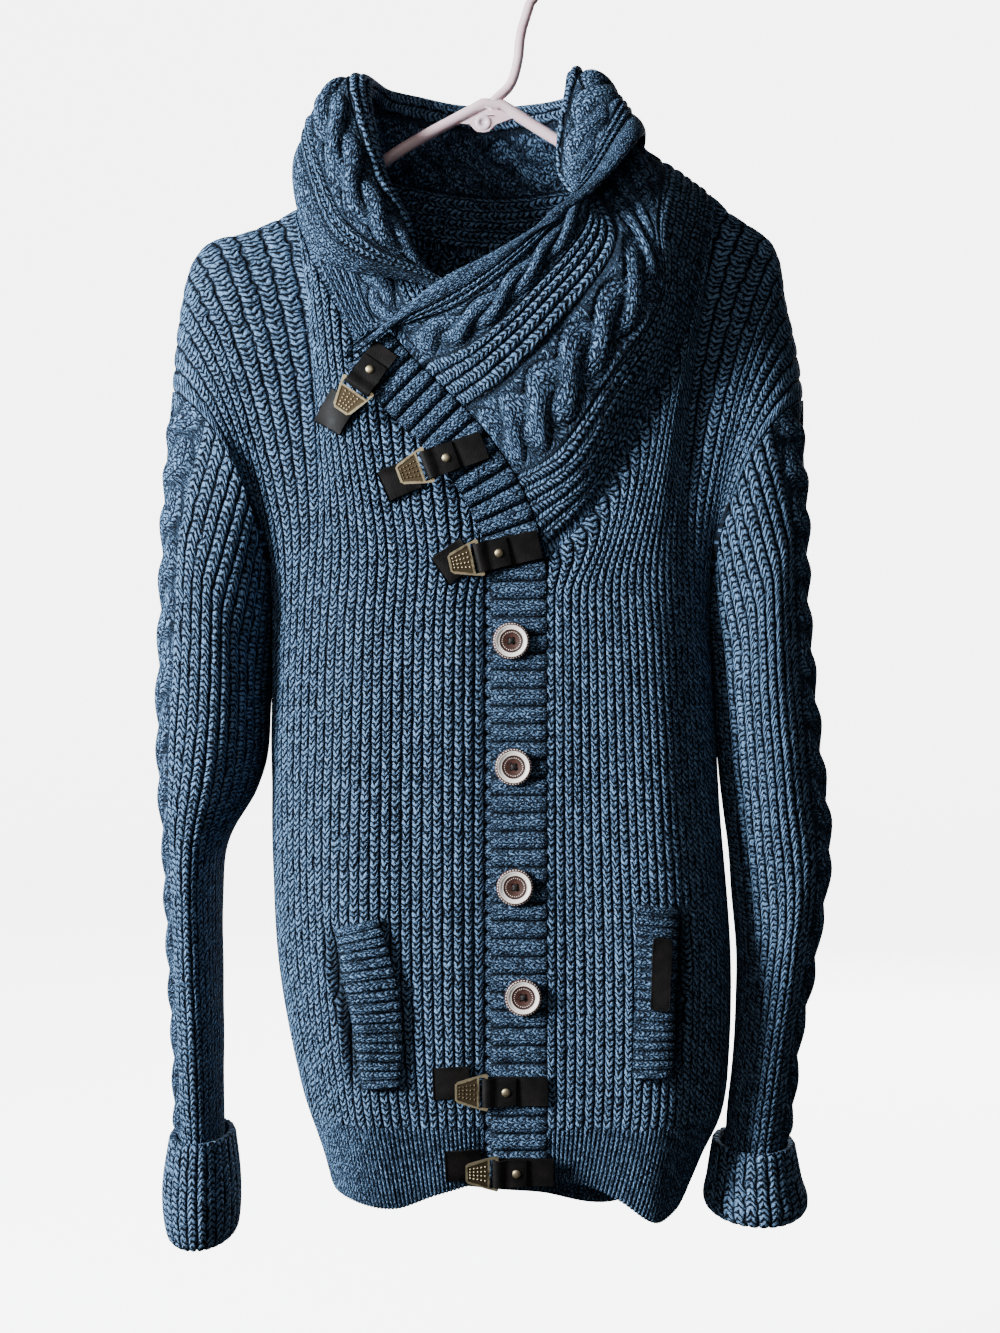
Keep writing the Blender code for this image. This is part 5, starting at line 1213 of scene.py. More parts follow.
@made_once
def horn_resin(settings):
    """Two-tone cast resin: ivory ring, brown rim with small dashes, brown centre."""
    material, tree, shader = new_material(
        "horn_look_resin", Roughness=0.42, Specular_IOR_Level=0.3,
    )
    place = add_node(tree, "UVMap", uv_map="Face")
    radius = add_node(tree, "VectorMath", (place,), "Value", operation="LENGTH")
    axes = add_node(tree, "SeparateXYZ", (place,)).node.outputs
    angle = add_node(tree, "Math", (axes["Y"], axes["X"]), operation="ARCTAN2")
    # Cloudy streaks of the resin, 2 to 3 mm wide.
    streak = add_node(
        tree, "TexNoise", {"Vector": place, "Scale": 420.0, "Detail": 4.0, "Distortion": 0.8},
        noise_dimensions="2D",
    )
    colour = add_node(tree, "ValToRGB", (streak,), stops=(
        (0.3, settings.button_brown), (0.8, settings.button_umber),
    ))
    relief = 0.0
    # Rings: inner and outer radius, colour, and the number of dashes round each.
    for inner, outer, code, dashes in (
        (7.2, 7.9, settings.button_umber, 0), (7.9, 10.6, settings.button_ivory, 0),
        (11.4, 11.9, settings.button_ivory, 38), (5.9, 6.3, settings.button_ivory, 26),
    ):
        middle, half = (inner + outer) / 2 * MM, (outer - inner) / 2 * MM
        inside = add_node(tree, "Math", (radius, middle, half), operation="COMPARE")
        if dashes:
            turn = add_node(tree, "Math", (angle, float(dashes)), operation="MULTIPLY")
            turn = add_node(tree, "Math", (turn,), operation="SINE")
            turn = add_node(tree, "Math", (turn, 0.35), operation="GREATER_THAN")
            inside = add_node(tree, "Math", (inside, turn), operation="MULTIPLY")
            relief = add_node(tree, "Math", (inside, relief), operation="ADD")
        colour = add_node(
            tree, "Mix", {"Factor": inside, "A": colour, "B": linear_colour(code)},
            "Result", data_type="RGBA",
        )
    dress(tree, shader, colour, relief, 0.4, -0.3)
    return material


@made_once
def waxed_thread(settings):
    """Black waxed linen thread, twisted from plies about half a millimetre thick."""
    material, tree, shader = new_material("waxed_linen_thread", Roughness=0.6)
    place = add_node(tree, "TexCoord", output="Object")
    plies = add_node(tree, "TexWave", {"Vector": place, "Scale": 500.0, "Distortion": 1.0},
                     bands_direction="DIAGONAL")
    colour = add_node(tree, "ValToRGB", (plies,), stops=(
        (0.2, settings.thread_dark), (0.8, settings.thread_light),
    ))
    dress(tree, shader, colour, plies, 0.5, 0.2)
    return material


@made_once
def pink_polypropylene(settings):
    """Injection moulded polypropylene: even pale pink, slightly waxy and translucent."""
    material, tree, shader = new_material(
        "moulded_polypropylene", Roughness=0.32, Subsurface_Weight=0.15,
        Subsurface_Scale=0.004, IOR=1.49,
    )
    place = add_node(tree, "TexCoord", output="Object")
    # Flow marks of the moulding, about 17 mm long and very faint.
    flow = add_node(tree, "TexNoise", {"Vector": place, "Scale": 60.0, "Detail": 3.0})
    colour = add_node(tree, "ValToRGB", (flow,), stops=(
        (0.3, settings.hanger_pink), (0.8, settings.hanger_pale),
    ))
    dress(tree, shader, colour, flow, 0.08, 0.3)
    return material


@made_once
def studio_paper(settings):
    """Translucent background paper with a faint tooth, lit evenly from behind."""
    material, tree, shader = new_material(
        "backlit_paper", Roughness=0.9, Emission_Color=linear_colour(settings.paper),
        Emission_Strength=settings.paper_glow,
    )
    place = add_node(tree, "TexCoord", output="Object")
    tooth = add_node(tree, "TexNoise", {"Vector": place, "Scale": 800.0})
    colour = add_node(tree, "ValToRGB", (tooth,), stops=(
        (0.0, settings.paper_shade), (0.4, settings.paper),
    ))
    dress(tree, shader, colour, tooth, 0.05, 0.2)
    return material


# ==========================================================
# Cloth pieces
# ==========================================================
def knit_piece(context, node, cloth, wall=WALL, centred=False):
    """Piece of knit in place of one cloth node."""
    yarn = context.scene.cardigan_yarn
    return finish_mesh(
        node + "_knit", bend_cloth(cloth, wall, centred),
        [rib_wool(yarn), smooth_wool(yarn)], [node],
    )


def pocket_dip(cloth, table):
    """Sink the front along the pocket's mouth, beside the welt's free edge, and paint shade
    into the dip.
    """
    knots = range(len(table))
    low, high = table[-1][1], table[0][1]
    outer = math.copysign(1, table[0][0])
    for i in range(cloth.rows + 1):
        for j in range(cloth.columns + 1):
            p = cloth.base[i][j]
            if not low - 4 < p.z < high + 4 or p.y > 0:
                continue
            share = (high - p.z) / (high - low)
            free = through(knots, [row[0] for row in table], share * knots[-1])
            away = (p.x - free - outer * 3.0) / SLIT_HALF
            if abs(away) < 1:
                ends = max(math.sin(math.pi * min(max(share, 0), 1)), 0.0) ** 0.5
                dip = ends * (1 - away * away)
                cloth.rise[i][j] -= SLIT_DEPTH * dip
                cloth.inside[i][j] += SLIT_DEPTH * dip
                # Painted shade in the dip.
                cloth.painted_shade[i][j] = max(cloth.painted_shade[i][j], min(1.6 * dip, 1.0))


def hem_cloth(row_at, ribs, edge):
    """Ribbed hem below a panel."""
    count = ribs * RIB_STEPS
    top = HEM_SEAM - SEAM_GAP
    xs, zs = [x for x, _ in edge], [z for _, z in edge]
    base = []
    for k in range(HEM_ROWS + 1):
        level = mix(HEM_EDGE, top, k / HEM_ROWS)
        row = evenly(row_at(level), count)
        for point in row:
            low = through(xs, zs, point.x)
            point.z = mix(low, top, k / HEM_ROWS)
        base.append(row)
    cloth = Cloth(base, facing=away_from_body, reach=(9, 1))
    for column in (0, cloth.columns):
        x = base[0][column].x
        at_side = abs(x) > 60
        way = Vector((math.copysign(1, x), 0, 0)) if at_side else Vector((0, -1, 0))
        cloth.ease_edge(column, lambda i, way=way: way)
    rib_panel(cloth, RIB_DEPTH * 0.8, creases=0.5, steps=HEM_STEPS)
    cloth.fine = [True] * len(cloth.fine)
    for i, rounding in enumerate((0.9, 0.2)):
        for j in range(cloth.columns + 1):
            cloth.rise[i][j] -= rounding
            cloth.inside[i][j] -= rounding
    return cloth


def sleeve_cloth(table):
    """Sleeve tube with rib columns and a cable beside its outer line."""
    shares, kinds = [], []
    ribs = SLEEVE_RIBS * RIB_STEPS
    for k in range(ribs + 1):
        shares.append(mix(CABLE_SHARE, 1 - CABLE_SHARE, k / ribs))
        kinds.append(("rib", (k % RIB_STEPS) / RIB_STEPS))
    cable = CABLE_COLUMNS
    for k in range(1, cable + 1):
        shares.append(1 - CABLE_SHARE + 2 * CABLE_SHARE * k / cable)
        kinds.append(("cable", k / cable * 2 - 1))
    turned_shares = [(share + CABLE_TURN) % 1.0 for share in shares]
    rows = SLEEVE_ROWS
    base = []
    for i in range(rows + 1):
        level = (len(table) - 1) * i / rows
        section = row_between(range(len(table)), table, level)
        bow = ARMHOLE_BOW * max(1 - level, 0)
        loop = [ring_point(section, 2 * math.pi * k / 180, bow) for k in range(181)]
        base.append(at_shares(loop, turned_shares))
    middle = sum((p for p in base[rows // 2]), Vector()) / len(base[0])
    cloth = Cloth(base, around=True, facing=lambda p: p - middle, reach=(4, 2))
    knots = [0.0]
    for a, b in zip(base, base[1:]):
        knots.append(knots[-1] + sum((q - p).length for p, q in zip(a, b)) / len(a))
    cloth.fine = [kind == "cable" for kind, _ in kinds[1:]] + [True]
    for i in range(rows + 1):
        for j in range(cloth.columns + 1):
            kind, t = kinds[j]
            hang = 0.9 * soft_crease(base[i][j]) * near_edge(i, rows, 10)
            rise = rib_profile(t) * RIB_DEPTH
            # Painted shade in the groove between ribs.
            cloth.painted_shade[i][j] = -PAINTED_RIB_SHADE * rib_profile(t)
            if kind == "cable":
                rise, cloth.painted_shade[i][j], cloth.across[i][j] = cable_at(t, knots[i])
                rise *= near_edge(i, rows, 5)
            cloth.rise[i][j] = rise + hang
            cloth.inside[i][j] = -hang
            cloth.along[i][j] = knots[i]
    for i in range(rows + 1):
        cloth.rise[i][-1] = cloth.rise[i][0]
        cloth.painted_shade[i][-1] = cloth.painted_shade[i][0]
    for j in range(cloth.columns + 1):
        cloth.outward[0][j] = cloth.outward[1][j]
    return cloth


def at_shares(loop, shares):
    """Points of a closed loop at shares of the way round, in any order."""
    steps = 720
    fine = evenly(loop, steps)
    found = []
    for share in shares:
        place = share * steps
        k = min(int(place), steps - 1)
        found.append(fine[k].lerp(fine[k + 1], place - k))
    return found


def cable_at(t, distance):
    """Two-strand cable at t from -1 to 1 across: height, painted shade, place in its strand.
    """
    turn = math.pi * distance / CABLE_PITCH
    strands = []
    for start in (0.0, math.pi):
        middle = CABLE_SWING * math.cos(turn + start)
        lift = CABLE_LIFT * math.sin(turn + start)
        place = (t - middle) / CABLE_STRAND
        top = (1 - min(abs(place), 1.0) ** 2) ** CABLE_ROUND
        height = (CABLE_TOP + lift - CABLE_FLOOR) * top + CABLE_FLOOR
        strands.append((height, place, start))
    (low, _, _), (high, place, start) = sorted(strands)
    crease = 0.0
    if low > CABLE_FLOOR + 0.3:
        crease = math.exp(-(((high - low) / CREASE_WIDE) ** 2))
    # Deep painted shade lies only close beside a strand and in the crease where the strands
    # meet.
    beside = (abs(place) - 1.0) * 3.2
    painted_shade = max(0.8 * crease, math.exp(-beside * beside) * smoothstep(abs(place) * 4 - 3))
    across = (place * STRAND_WALES + start) * FINE_WALE
    return high - CREASE_DEPTH * crease, 0.9 * painted_shade, across


def cuff_cloth(table, sleeve_end):
    """Turned-back cuff: from its free top down outside, round the fold, up inside."""
    top, middle, low, fold = table
    end = (sleeve_end[1] - SEAM_GAP, sleeve_end[0], sleeve_end[2], sleeve_end[4])
    count = CUFF_RIBS * RIB_STEPS

    def ring(height, outer_x, inner_x, half_depth, inset):
        centre, half = (outer_x + inner_x) / 2, abs(outer_x - inner_x) / 2
        side = math.copysign(1, outer_x)
        points = []
        for k in range(count + 1):
            angle = 2 * math.pi * k / count
            x = centre + side * (half - inset) * math.cos(angle)
            points.append(
                Vector((x, -(half_depth - inset) * math.sin(angle), height))
            )
        return points

    half = WALL / 2
    keys = [
        ring(*top, half), ring(*middle, half), ring(*low, half),
        ring(fold[0] + half, *fold[1:], half + 2.0),
        ring(low[0] + 3.0, *low[1:], half + WALL + 1.6),
        ring(*end, half),
    ]
    stops = [0.0, 0.3, 0.55, 0.68, 0.8, 1.0]
    rows = CUFF_ROWS
    base = []
    for i in range(rows + 1):
        place = i / rows
        base.append(
            [rounded(stops, [key[j] for key in keys], place) for j in range(count + 1)]
        )
    cloth = Cloth(base, around=True, reach=(3, 1))
    start = cloth.outward[4][0]
    if start.x * math.copysign(1, top[1]) < 0:
        cloth.outward = [[-v for v in line] for line in cloth.outward]
    for i in range(rows + 1):
        fade = 1 - smoothstep((i / rows - 0.62) / 0.1)
        for j in range(count + 1):
            groove = rib_profile((j % RIB_STEPS) / RIB_STEPS)
            cloth.rise[i][j] = (groove + 0.4) * RIB_DEPTH * fade
            # Painted shade in the groove between ribs.
            cloth.painted_shade[i][j] = -PAINTED_RIB_SHADE * groove * fade
            if i == 0:
                cloth.rise[i][j] -= 1.0
                cloth.inside[i][j] -= 1.0
    return cloth


def cross_rib(t):
    """Rounded cross rib of three fine purl ridges between narrow deep grooves."""
    return -abs(2 * t - 1) ** 4 + 0.08 * math.cos(6 * math.pi * t)


def strip_cloth(place_at, length, half, pitch, depth, columns=18):
    """Band with cross ribs; place_at gives middle and across at a distance."""
    rows = round(length / pitch) * CROSS_STEPS
    base = []
    for i in range(rows + 1):
        point, across = place_at(length * i / rows)
        base.append([
            point + across * half * mix(-1, 1, j / columns) for j in range(columns + 1)
        ])
    cloth = Cloth(base, facing=lambda p: Vector((0, -1, 0)), reach=(3, 4))
    cross_ribs(cloth, CROSS_STEPS, depth, 3 * FINE_WALE, 2 * half)
    cloth.fine = [True] * len(cloth.fine)
    return cloth


def cross_ribs(cloth, steps, depth, wales, width):
    """Ribs across a strip, each some wales wide, with stitch rows along them, and painted
    shade in their grooves and along the strip's edges.
    """
    for i in range(cloth.rows + 1):
        rib = cross_rib((i % steps) / steps)
        for j in range(cloth.columns + 1):
            cloth.across[i][j] = i / steps * wales
            cloth.along[i][j] = j / cloth.columns * width
            edge = abs(2 * j / cloth.columns - 1) ** 8
            cloth.rise[i][j] = rib * depth - 1.2 * edge
            # Painted shade in the grooves and along the edges.
            cloth.painted_shade[i][j] = min(max(-rib * 1.15, 0.0) + 0.5 * edge, 1.0)


def over_band(distance):
    point, _, across = band_at(distance)
    return point - Vector((0, BAND_RIB_RISE, 0)), across


def under_band(distance):
    height = UNDER_BAND_FOOT + distance
    y = front_depth(BAND_X, height) + UNDER_STEP
    return Vector((UNDER_BAND_X, y, height)), Vector((1, 0, 0))


def collar_columns():
    """Grid columns across the collar: place in mm, kind and place within it."""
    found = []
    for kind, start, stop, count in COLLAR_BANDS:
        steps = {"rib": count * RIB_STEPS, "cable": CABLE_COLUMNS}.get(kind, count)
        for k in range(steps + (0 if kind == "plain" else 1)):
            t = (k % RIB_STEPS) / RIB_STEPS if kind == "rib" else k / steps * 2 - 1
            found.append((mix(start, stop, k / steps), kind, t))
    return found


def collar_relief(kind, t, along, place):
    """Height of the collar's relief, its painted shade and its place across the stitches."""
    if kind == "rib":
        return (rib_profile(t) + 0.5) * 2.4, -PAINTED_RIB_SHADE * rib_profile(t), None
    if kind == "cable":
        return cable_at(t, along)
    if kind == "roll":
        height = ROLL_RISE * (1 - t * t) - 0.6 * max(t, 0) ** 6
        # Painted shade on the roll's inner half, where it meets the ribs.
        return height, 0.7 * max(-t, 0) ** 3, place
    return 0.0, 0.0, place


def collar_cloth():
    columns = collar_columns()
    shares = [place / COLLAR_WIDTH for place, _, _ in columns]
    length = COLLAR_FORM.knots[-1]
    rows = round(length / COLLAR_ROW)
    base = [COLLAR_FORM.row(length * i / rows, shares) for i in range(rows + 1)]
    cloth = Cloth(base, reach=(3, 2))
    if cloth.outward[rows // 2][4].y < 0:
        cloth.outward = [[-v for v in line] for line in cloth.outward]
    for i in range(rows + 1):
        along = length * i / rows
        ends = near_edge(i, rows, 6)
        sewn = through(COLLAR_FORM.knots, SEAM_OUT, along).normalized()
        for j, (place, kind, t) in enumerate(columns):
            if place < SEAM_EASE:
                turn = smoothstep(place / SEAM_EASE)
                cloth.outward[i][j] = mix(sewn, cloth.outward[i][j], turn).normalized()
            if i == rows:
                cloth.outward[i][j] = Vector((0, -1, 0))
            rise, painted_shade, across = collar_relief(kind, t, along, place)
            rise -= COLLAR_SETTLE
            rise *= ends if kind == "cable" else 1.0
            rise += 0.8 * soft_crease(base[i][j]) * ends * near_edge(j, len(columns), 8)
            cloth.rise[i][j] = rise
            cloth.inside[i][j] = rise
            cloth.painted_shade[i][j] = painted_shade
            if across is not None:
                cloth.across[i][j] = across
            cloth.along[i][j] = along
    cloth.fine = [kind != "rib" for _, kind, _ in columns]
    return cloth


def welt_point(table, front, along, across, out):
    """Point over the front; across runs from the free edge to the sewn one."""
    knots = range(len(table))
    free_x, free_z, sewn_x, sewn_z = row_between(knots, table, along * knots[-1])
    x, z = mix(free_x, sewn_x, across), mix(free_z, sewn_z, across)
    lift = WELT_LIFT * (1 - smoothstep(across / 0.9)) * math.sin(math.pi * along)
    return front.find(x, z) + Vector((0, -(SEAM_GAP + lift + out), 0))


def welt_cloth(table, front):
    rows, columns = WELT_RIBS * WELT_STEPS, 12
    keys = [
        [
            welt_point(table, front, i / 16, j / 4, WELT_WALL + WELT_GAP + 1.3)
            for j in range(5)
        ]
        for i in range(17)
    ]
    base = []
    for i in range(rows + 1):
        place = 16 * i / rows
        line = row_between(range(17), keys, place)
        base.append([through(range(5), line, 4 * j / columns) for j in range(columns + 1)])
    cloth = Cloth(base, facing=lambda p: Vector((0, -1, 0)), reach=(2, 4))
    cross_ribs(cloth, WELT_STEPS, 2.2, RIB_PITCH, WELT_WIDE)
    cloth.fine = [True] * len(cloth.fine)
    return cloth


# ==========================================================
# Hard pieces
# ==========================================================
def band_plane(x, z):
    """Point on the over band's rib crests nearest to x and z, and its outward."""
    path = BAND_PATH
    k = min(
        range(len(path)), key=lambda i: (path[i].x - x) ** 2 + (path[i].z - z) ** 2
    )
    a, b = path[max(k - 3, 0)], path[min(k + 3, len(path) - 1)]
    run = (b - a).normalized()
    side = Vector((run.z, 0, -run.x)).normalized()
    outward = run.cross(side).normalized()
    if outward.y > 0:
        outward = -outward
    return path[k] + outward * BAND_RIB_RISE, outward


def turned(profile, sides):
    """Solid of revolution about its own z axis, in millimetres."""
    bm = bmesh.new()
    line = [bm.verts.new((r, 0, z)) for r, z in profile]
    edges = [bm.edges.new(pair) for pair in zip(line, line[1:])]
    bmesh.ops.spin(
        bm, geom=line + edges, cent=(0, 0, 0), axis=(0, 0, 1), angle=2 * math.pi,
        steps=sides, use_merge=True,
    )
    bmesh.ops.remove_doubles(bm, verts=bm.verts, dist=0.001)
    bmesh.ops.recalc_face_normals(bm, faces=bm.faces)
    return bm


def button_place(x, z):
    crest, outward = band_plane(x, z)
    place = Vector((x, crest.y, z)) + outward * 0.6
    turn = outward.to_track_quat("Z", "Y").to_matrix().to_4x4()
    return Matrix.Scale(MM, 4) @ Matrix.Translation(place) @ turn


def button_mesh(place):
    bm = turned(BUTTON_PROFILE, 64)
    holes = bmesh.new()
    for k in range(4):
        angle = math.pi / 4 + k * math.pi / 2
        middle = Vector((HOLE_OUT * math.cos(angle), HOLE_OUT * math.sin(angle), 2.0))
        bmesh.ops.create_cone(
            holes, cap_ends=True, segments=20, radius1=HOLE_RADIUS, radius2=HOLE_RADIUS,
            depth=12, matrix=Matrix.Translation(middle),
        )
    bm = carve(bm, holes)
    uv = bm.loops.layers.uv.new("Face")
    for face in bm.faces:
        for loop in face.loops:
            loop[uv].uv = (loop.vert.co.x * MM, loop.vert.co.y * MM)
    bm.transform(place)
    return bm


def thread_mesh(place):
    """Two bars of thread crossing over the button's holes and down into them."""
    bm = bmesh.new()
    for k in range(2):
        turn = Matrix.Rotation(math.pi / 4 + k * math.pi / 2, 4, "Z")
        for strand in (-0.3, 0.3):
            path = [
                Vector((-HOLE_OUT, strand, 0.8)), Vector((-HOLE_OUT, strand, 2.5)),
                Vector((-1.5, strand, 3.1 + 0.3 * k)), Vector((0, strand, 3.3 + 0.35 * k)),
                Vector((1.5, strand, 3.1 + 0.3 * k)), Vector((HOLE_OUT, strand, 2.5)),
                Vector((HOLE_OUT, strand, 0.8)),
            ]
            swept_tube(bm, [turn @ p for p in path], 0.38, 8)
    bm.transform(place)
    return bm


def swept_tube(bm, path, radius, sides):
    """Capped round tube along a path, added to a bmesh."""
    face = before = None
    for k, point in enumerate(path):
        run = path[min(k + 1, len(path) - 1)] - path[max(k - 1, 0)]
        turn = run.to_track_quat("Z", "Y").to_matrix().to_4x4()
        place = Matrix.Translation(point) @ turn
        if face is None:
            made = bmesh.ops.create_circle(
                bm, cap_ends=True, segments=sides, radius=radius, matrix=place,
            )
            face = made["verts"][0].link_faces[0]
        else:
            lifted = bmesh.ops.extrude_face_region(bm, geom=[face])["geom"]
            if k > 1:
                bmesh.ops.delete(bm, geom=[face], context="FACES_ONLY")
            face = next(f for f in lifted if isinstance(f, bmesh.types.BMFace))
            ring = [v for v in lifted if isinstance(v, bmesh.types.BMVert)]
            bmesh.ops.transform(bm, matrix=place @ before.inverted(), verts=ring)
        before = place


def add_part(bm, part):
    """Move a finished bmesh into another."""
    mesh = bpy.data.meshes.new("part")
    part.to_mesh(mesh)
    part.free()
    bm.from_mesh(mesh)
    bpy.data.meshes.remove(mesh)


def slab(outline, low, high):
    """Flat solid from an outline in its own x and y, between two heights."""
    bm = bmesh.new()
    face = bm.faces.new([bm.verts.new((x, y, low)) for x, y in outline])
    lifted = bmesh.ops.extrude_face_region(bm, geom=[face])
    verts = [v for v in lifted["geom"] if isinstance(v, bmesh.types.BMVert)]
    bmesh.ops.translate(bm, verts=verts, vec=(0, 0, high - low))
    bmesh.ops.recalc_face_normals(bm, faces=bm.faces)
    return bm


def soften(bm, width, segments=2, angle=35):
    """Round every edge that is sharper than an angle."""
    sharp = [
        e for e in bm.edges
        if e.is_manifold and e.calc_face_angle(0) > math.radians(angle)
    ]
    bmesh.ops.bevel(
        bm, geom=sharp, offset=width, offset_type="OFFSET", segments=segments,
        profile=0.5, affect="EDGES", clamp_overlap=True, material=-1,
    )
    return bm


def clasp_frame(row):
    """Matrix from a clasp's own millimetres to the row frame."""
    bar_x, bar_z, angle, length = row[:4]
    reach = Vector((math.cos(math.radians(angle)), 0, math.sin(math.radians(angle))))
    over = Vector((bar_x, 0, bar_z)) + reach * length / 2
    crest, outward = band_plane(over.x, over.z)
    along = (reach - outward * reach.dot(outward)).normalized()
    start = Vector((bar_x, crest.y, bar_z))
    start -= outward * (start - crest).dot(outward)
    turn = Matrix((along, outward.cross(along), outward)).transposed().to_4x4()
    return Matrix.Scale(MM, 4) @ Matrix.Translation(start) @ turn


def strap_mesh(length):
    """Strap folded round the plate's bar, its short layer on top."""
    half = STRAP_THICK / 2
    low = BAR_HEIGHT - LOOP_RADIUS
    top = low + STRAP_THICK + SEAM_GAP
    middle = [Vector((length, low)), Vector((length * 0.5, low)), Vector((1.0, low))]
    for k in range(1, 12):
        angle = math.radians(-90 - 17 * k)
        middle.append(
            Vector((LOOP_RADIUS * math.cos(angle), BAR_HEIGHT + LOOP_RADIUS * math.sin(angle)))
        )
    middle += [Vector(p) for p in ((2.6, BAR_HEIGHT + LOOP_RADIUS - 0.5), (4.6, top + 0.7),
                                   (6.8, top + 0.1), (9.0, top), (STRAP_TOP_END, top))]
    left, right = [], []
    for k, point in enumerate(middle):
        a, b = middle[max(k - 1, 0)], middle[min(k + 1, len(middle) - 1)]
        run = (b - a).normalized()
        side = Vector((-run.y, run.x)) * half
        left.append(point + side)
        right.append(point - side)
    bm = slab([tuple(p) for p in left + right[::-1]], -STRAP_WIDTH / 2, STRAP_WIDTH / 2)
    bm.transform(STAND_UP)
    return soften(bm, 0.35)


def plate_mesh():
    """Hook plate: trapezium with a raised border, dimples and a slot for the strap."""
    tail, end = -PLATE_LENGTH + BAR_HALF, BAR_HALF
    narrow, wide = PLATE_NARROW / 2, PLATE_WIDE / 2
    outline = (
        (tail, -narrow + 2), (tail + 2, -narrow), (-6, -wide + 1.5), (end - 1, -wide),
        (end, -wide + 1), (end, wide - 1), (end - 1, wide), (-6, wide - 1.5),
        (tail + 2, narrow), (tail, narrow - 2),
    )
    low, high = BAR_HEIGHT - PLATE_THICK / 2, BAR_HEIGHT + PLATE_THICK / 2
    bm = slab(outline, low, high)
    slot_start = -LOOP_RADIUS - STRAP_THICK / 2 - 1.8
    half = STRAP_WIDTH / 2 + 0.6
    box = ((slot_start, -half), (-BAR_HALF, -half), (-BAR_HALF, half), (slot_start, half))
    cutter = slab(box, low - 3, high + 3)
    bm = carve(bm, cutter)
    # The border stands round a sunk field of round studs.
    field = ((tail + 1.6, -5.1), (-6.4, -9.2), (-6.4, 9.2), (tail + 1.6, 5.1))
    bm = carve(bm, slab(field, high - FIELD_DEPTH, high + 2))
    for column in range(5):
        for row in range(4):
            x = tail + 3.2 + column * 2.5
            y = (row - 1.5) * (2.1 + 0.3 * column)
            bmesh.ops.create_icosphere(
                bm, subdivisions=2, radius=STUD_RADIUS,
                matrix=Matrix.Translation((x, y, high - FIELD_DEPTH - 0.1)),
            )
    return bm


def rivet_mesh():
    top = BAR_HEIGHT - LOOP_RADIUS + STRAP_THICK * 1.5 + SEAM_GAP
    profile = (
        (0.0, top - 3.2), (1.3, top - 3.2), (1.3, top), (2.75, top), (2.9, top + 0.25),
        (2.75, top + 0.7), (2.1, top + 1.2), (1.1, top + 1.5), (0.0, top + 1.55),
    )
    bm = turned(profile, 32)
    bm.transform(Matrix.Translation((RIVET_PLACE, 0, 0)))
    return bm


def base_mesh(row, front, hem):
    """Leather base that lies over the ribs of the right front."""
    base_x, base_z, base_turn, base_gap = row[4:]
    carrier = front if base_z > HEM_SEAM + 14 else hem
    turn = math.radians(base_turn)
    keys = []
    for a in (-0.5, 0.0, 0.5):
        line = []
        for b in (-0.5, 0.0, 0.5):
            u, v = b * BASE_LONG, a * BASE_WIDE
            x = base_x + u * math.cos(turn) - v * math.sin(turn)
            z = base_z + u * math.sin(turn) + v * math.cos(turn)
            line.append(carrier.find(x, z) + Vector((0, -base_gap, 0)))
        keys.append(line)
    bm = parametric_slab(8, 8, False)
    for vert in bm.verts:
        u, v, side = vert.co
        line = row_between(range(3), keys, v * 2)
        point = through(range(3), line, u * 2)
        vert.co = (point + Vector((0, -BASE_THICK * (1 - side), 0))) * MM
    return soften(bm, 0.5 * MM, 2, 50)


def hanger_mesh():
    """Hook, arms and the web with its disc, as one moulding."""
    centre = Vector((0.0, SHANK_RADIUS - HOOK_RADIUS))
    shank = smooth_path([Vector((x, 0, z)) for x, z in SHANK], 5.0)
    steps = 40
    hook = []
    for k in range(steps + 1):
        angle = math.radians(mix(HOOK_FROM, HOOK_TO, k / steps))
        hook.append(Vector((centre.x + HOOK_RADIUS * math.cos(angle), 0,
                            centre.y + HOOK_RADIUS * math.sin(angle))))
    bm = bmesh.new()
    swept_tube(bm, shank[:-1] + hook, SHANK_RADIUS, 24)
    arms = []
    for half in (ARMS[:4], ARMS[3:5], ARMS[4:]):
        arms += smooth_path([Vector((x, 0, z)) for x, z in half], 8.0)[:-1]
    arms.append(Vector((ARMS[-1][0], 0, ARMS[-1][1])))
    swept_tube(bm, arms, ARM_RADIUS, 24)
    web = slab(WEB, -WEB_HALF, WEB_HALF)
    web.transform(STAND_UP)
    add_part(bm, soften(web, 0.5))
    boss = turned(BOSS_PROFILE, 40)
    boss.transform(Matrix.Translation(BOSS_PLACE) @ Matrix.Rotation(math.pi / 2, 4, "X"))
    add_part(bm, boss)
    bm.transform(Matrix.Scale(MM, 4))
    return bm


def cove_mesh(floor):
    """Round paper cove: a floor that turns up into a wall on every side."""
    bm = bmesh.new()
    ring = bmesh.ops.create_circle(bm, cap_ends=True, segments=96, radius=COVE_RADIUS)
    bmesh.ops.translate(bm, verts=ring["verts"], vec=(0, 0, floor))
    fold = [edge for edge in bm.edges if edge.is_boundary]
    lifted = bmesh.ops.extrude_edge_only(bm, edges=fold)
    top = [v for v in lifted["geom"] if isinstance(v, bmesh.types.BMVert)]
    bmesh.ops.translate(bm, verts=top, vec=(0, 0, COVE_HEIGHT))
    bmesh.ops.bevel(bm, geom=fold, offset=COVE_BEND, segments=12, profile=0.5,
                    affect="EDGES", material=-1)
    bmesh.ops.reverse_faces(bm, faces=[
        face for face in bm.faces
        if face.normal.dot(Vector((0, 0, 1)) - face.calc_center_median()) < 0
    ])
    return bm


# ==========================================================
# Settings
# ==========================================================
def colour_text(name, description, default):
    return StringProperty(name=name, description=description, default=default, maxlen=6)


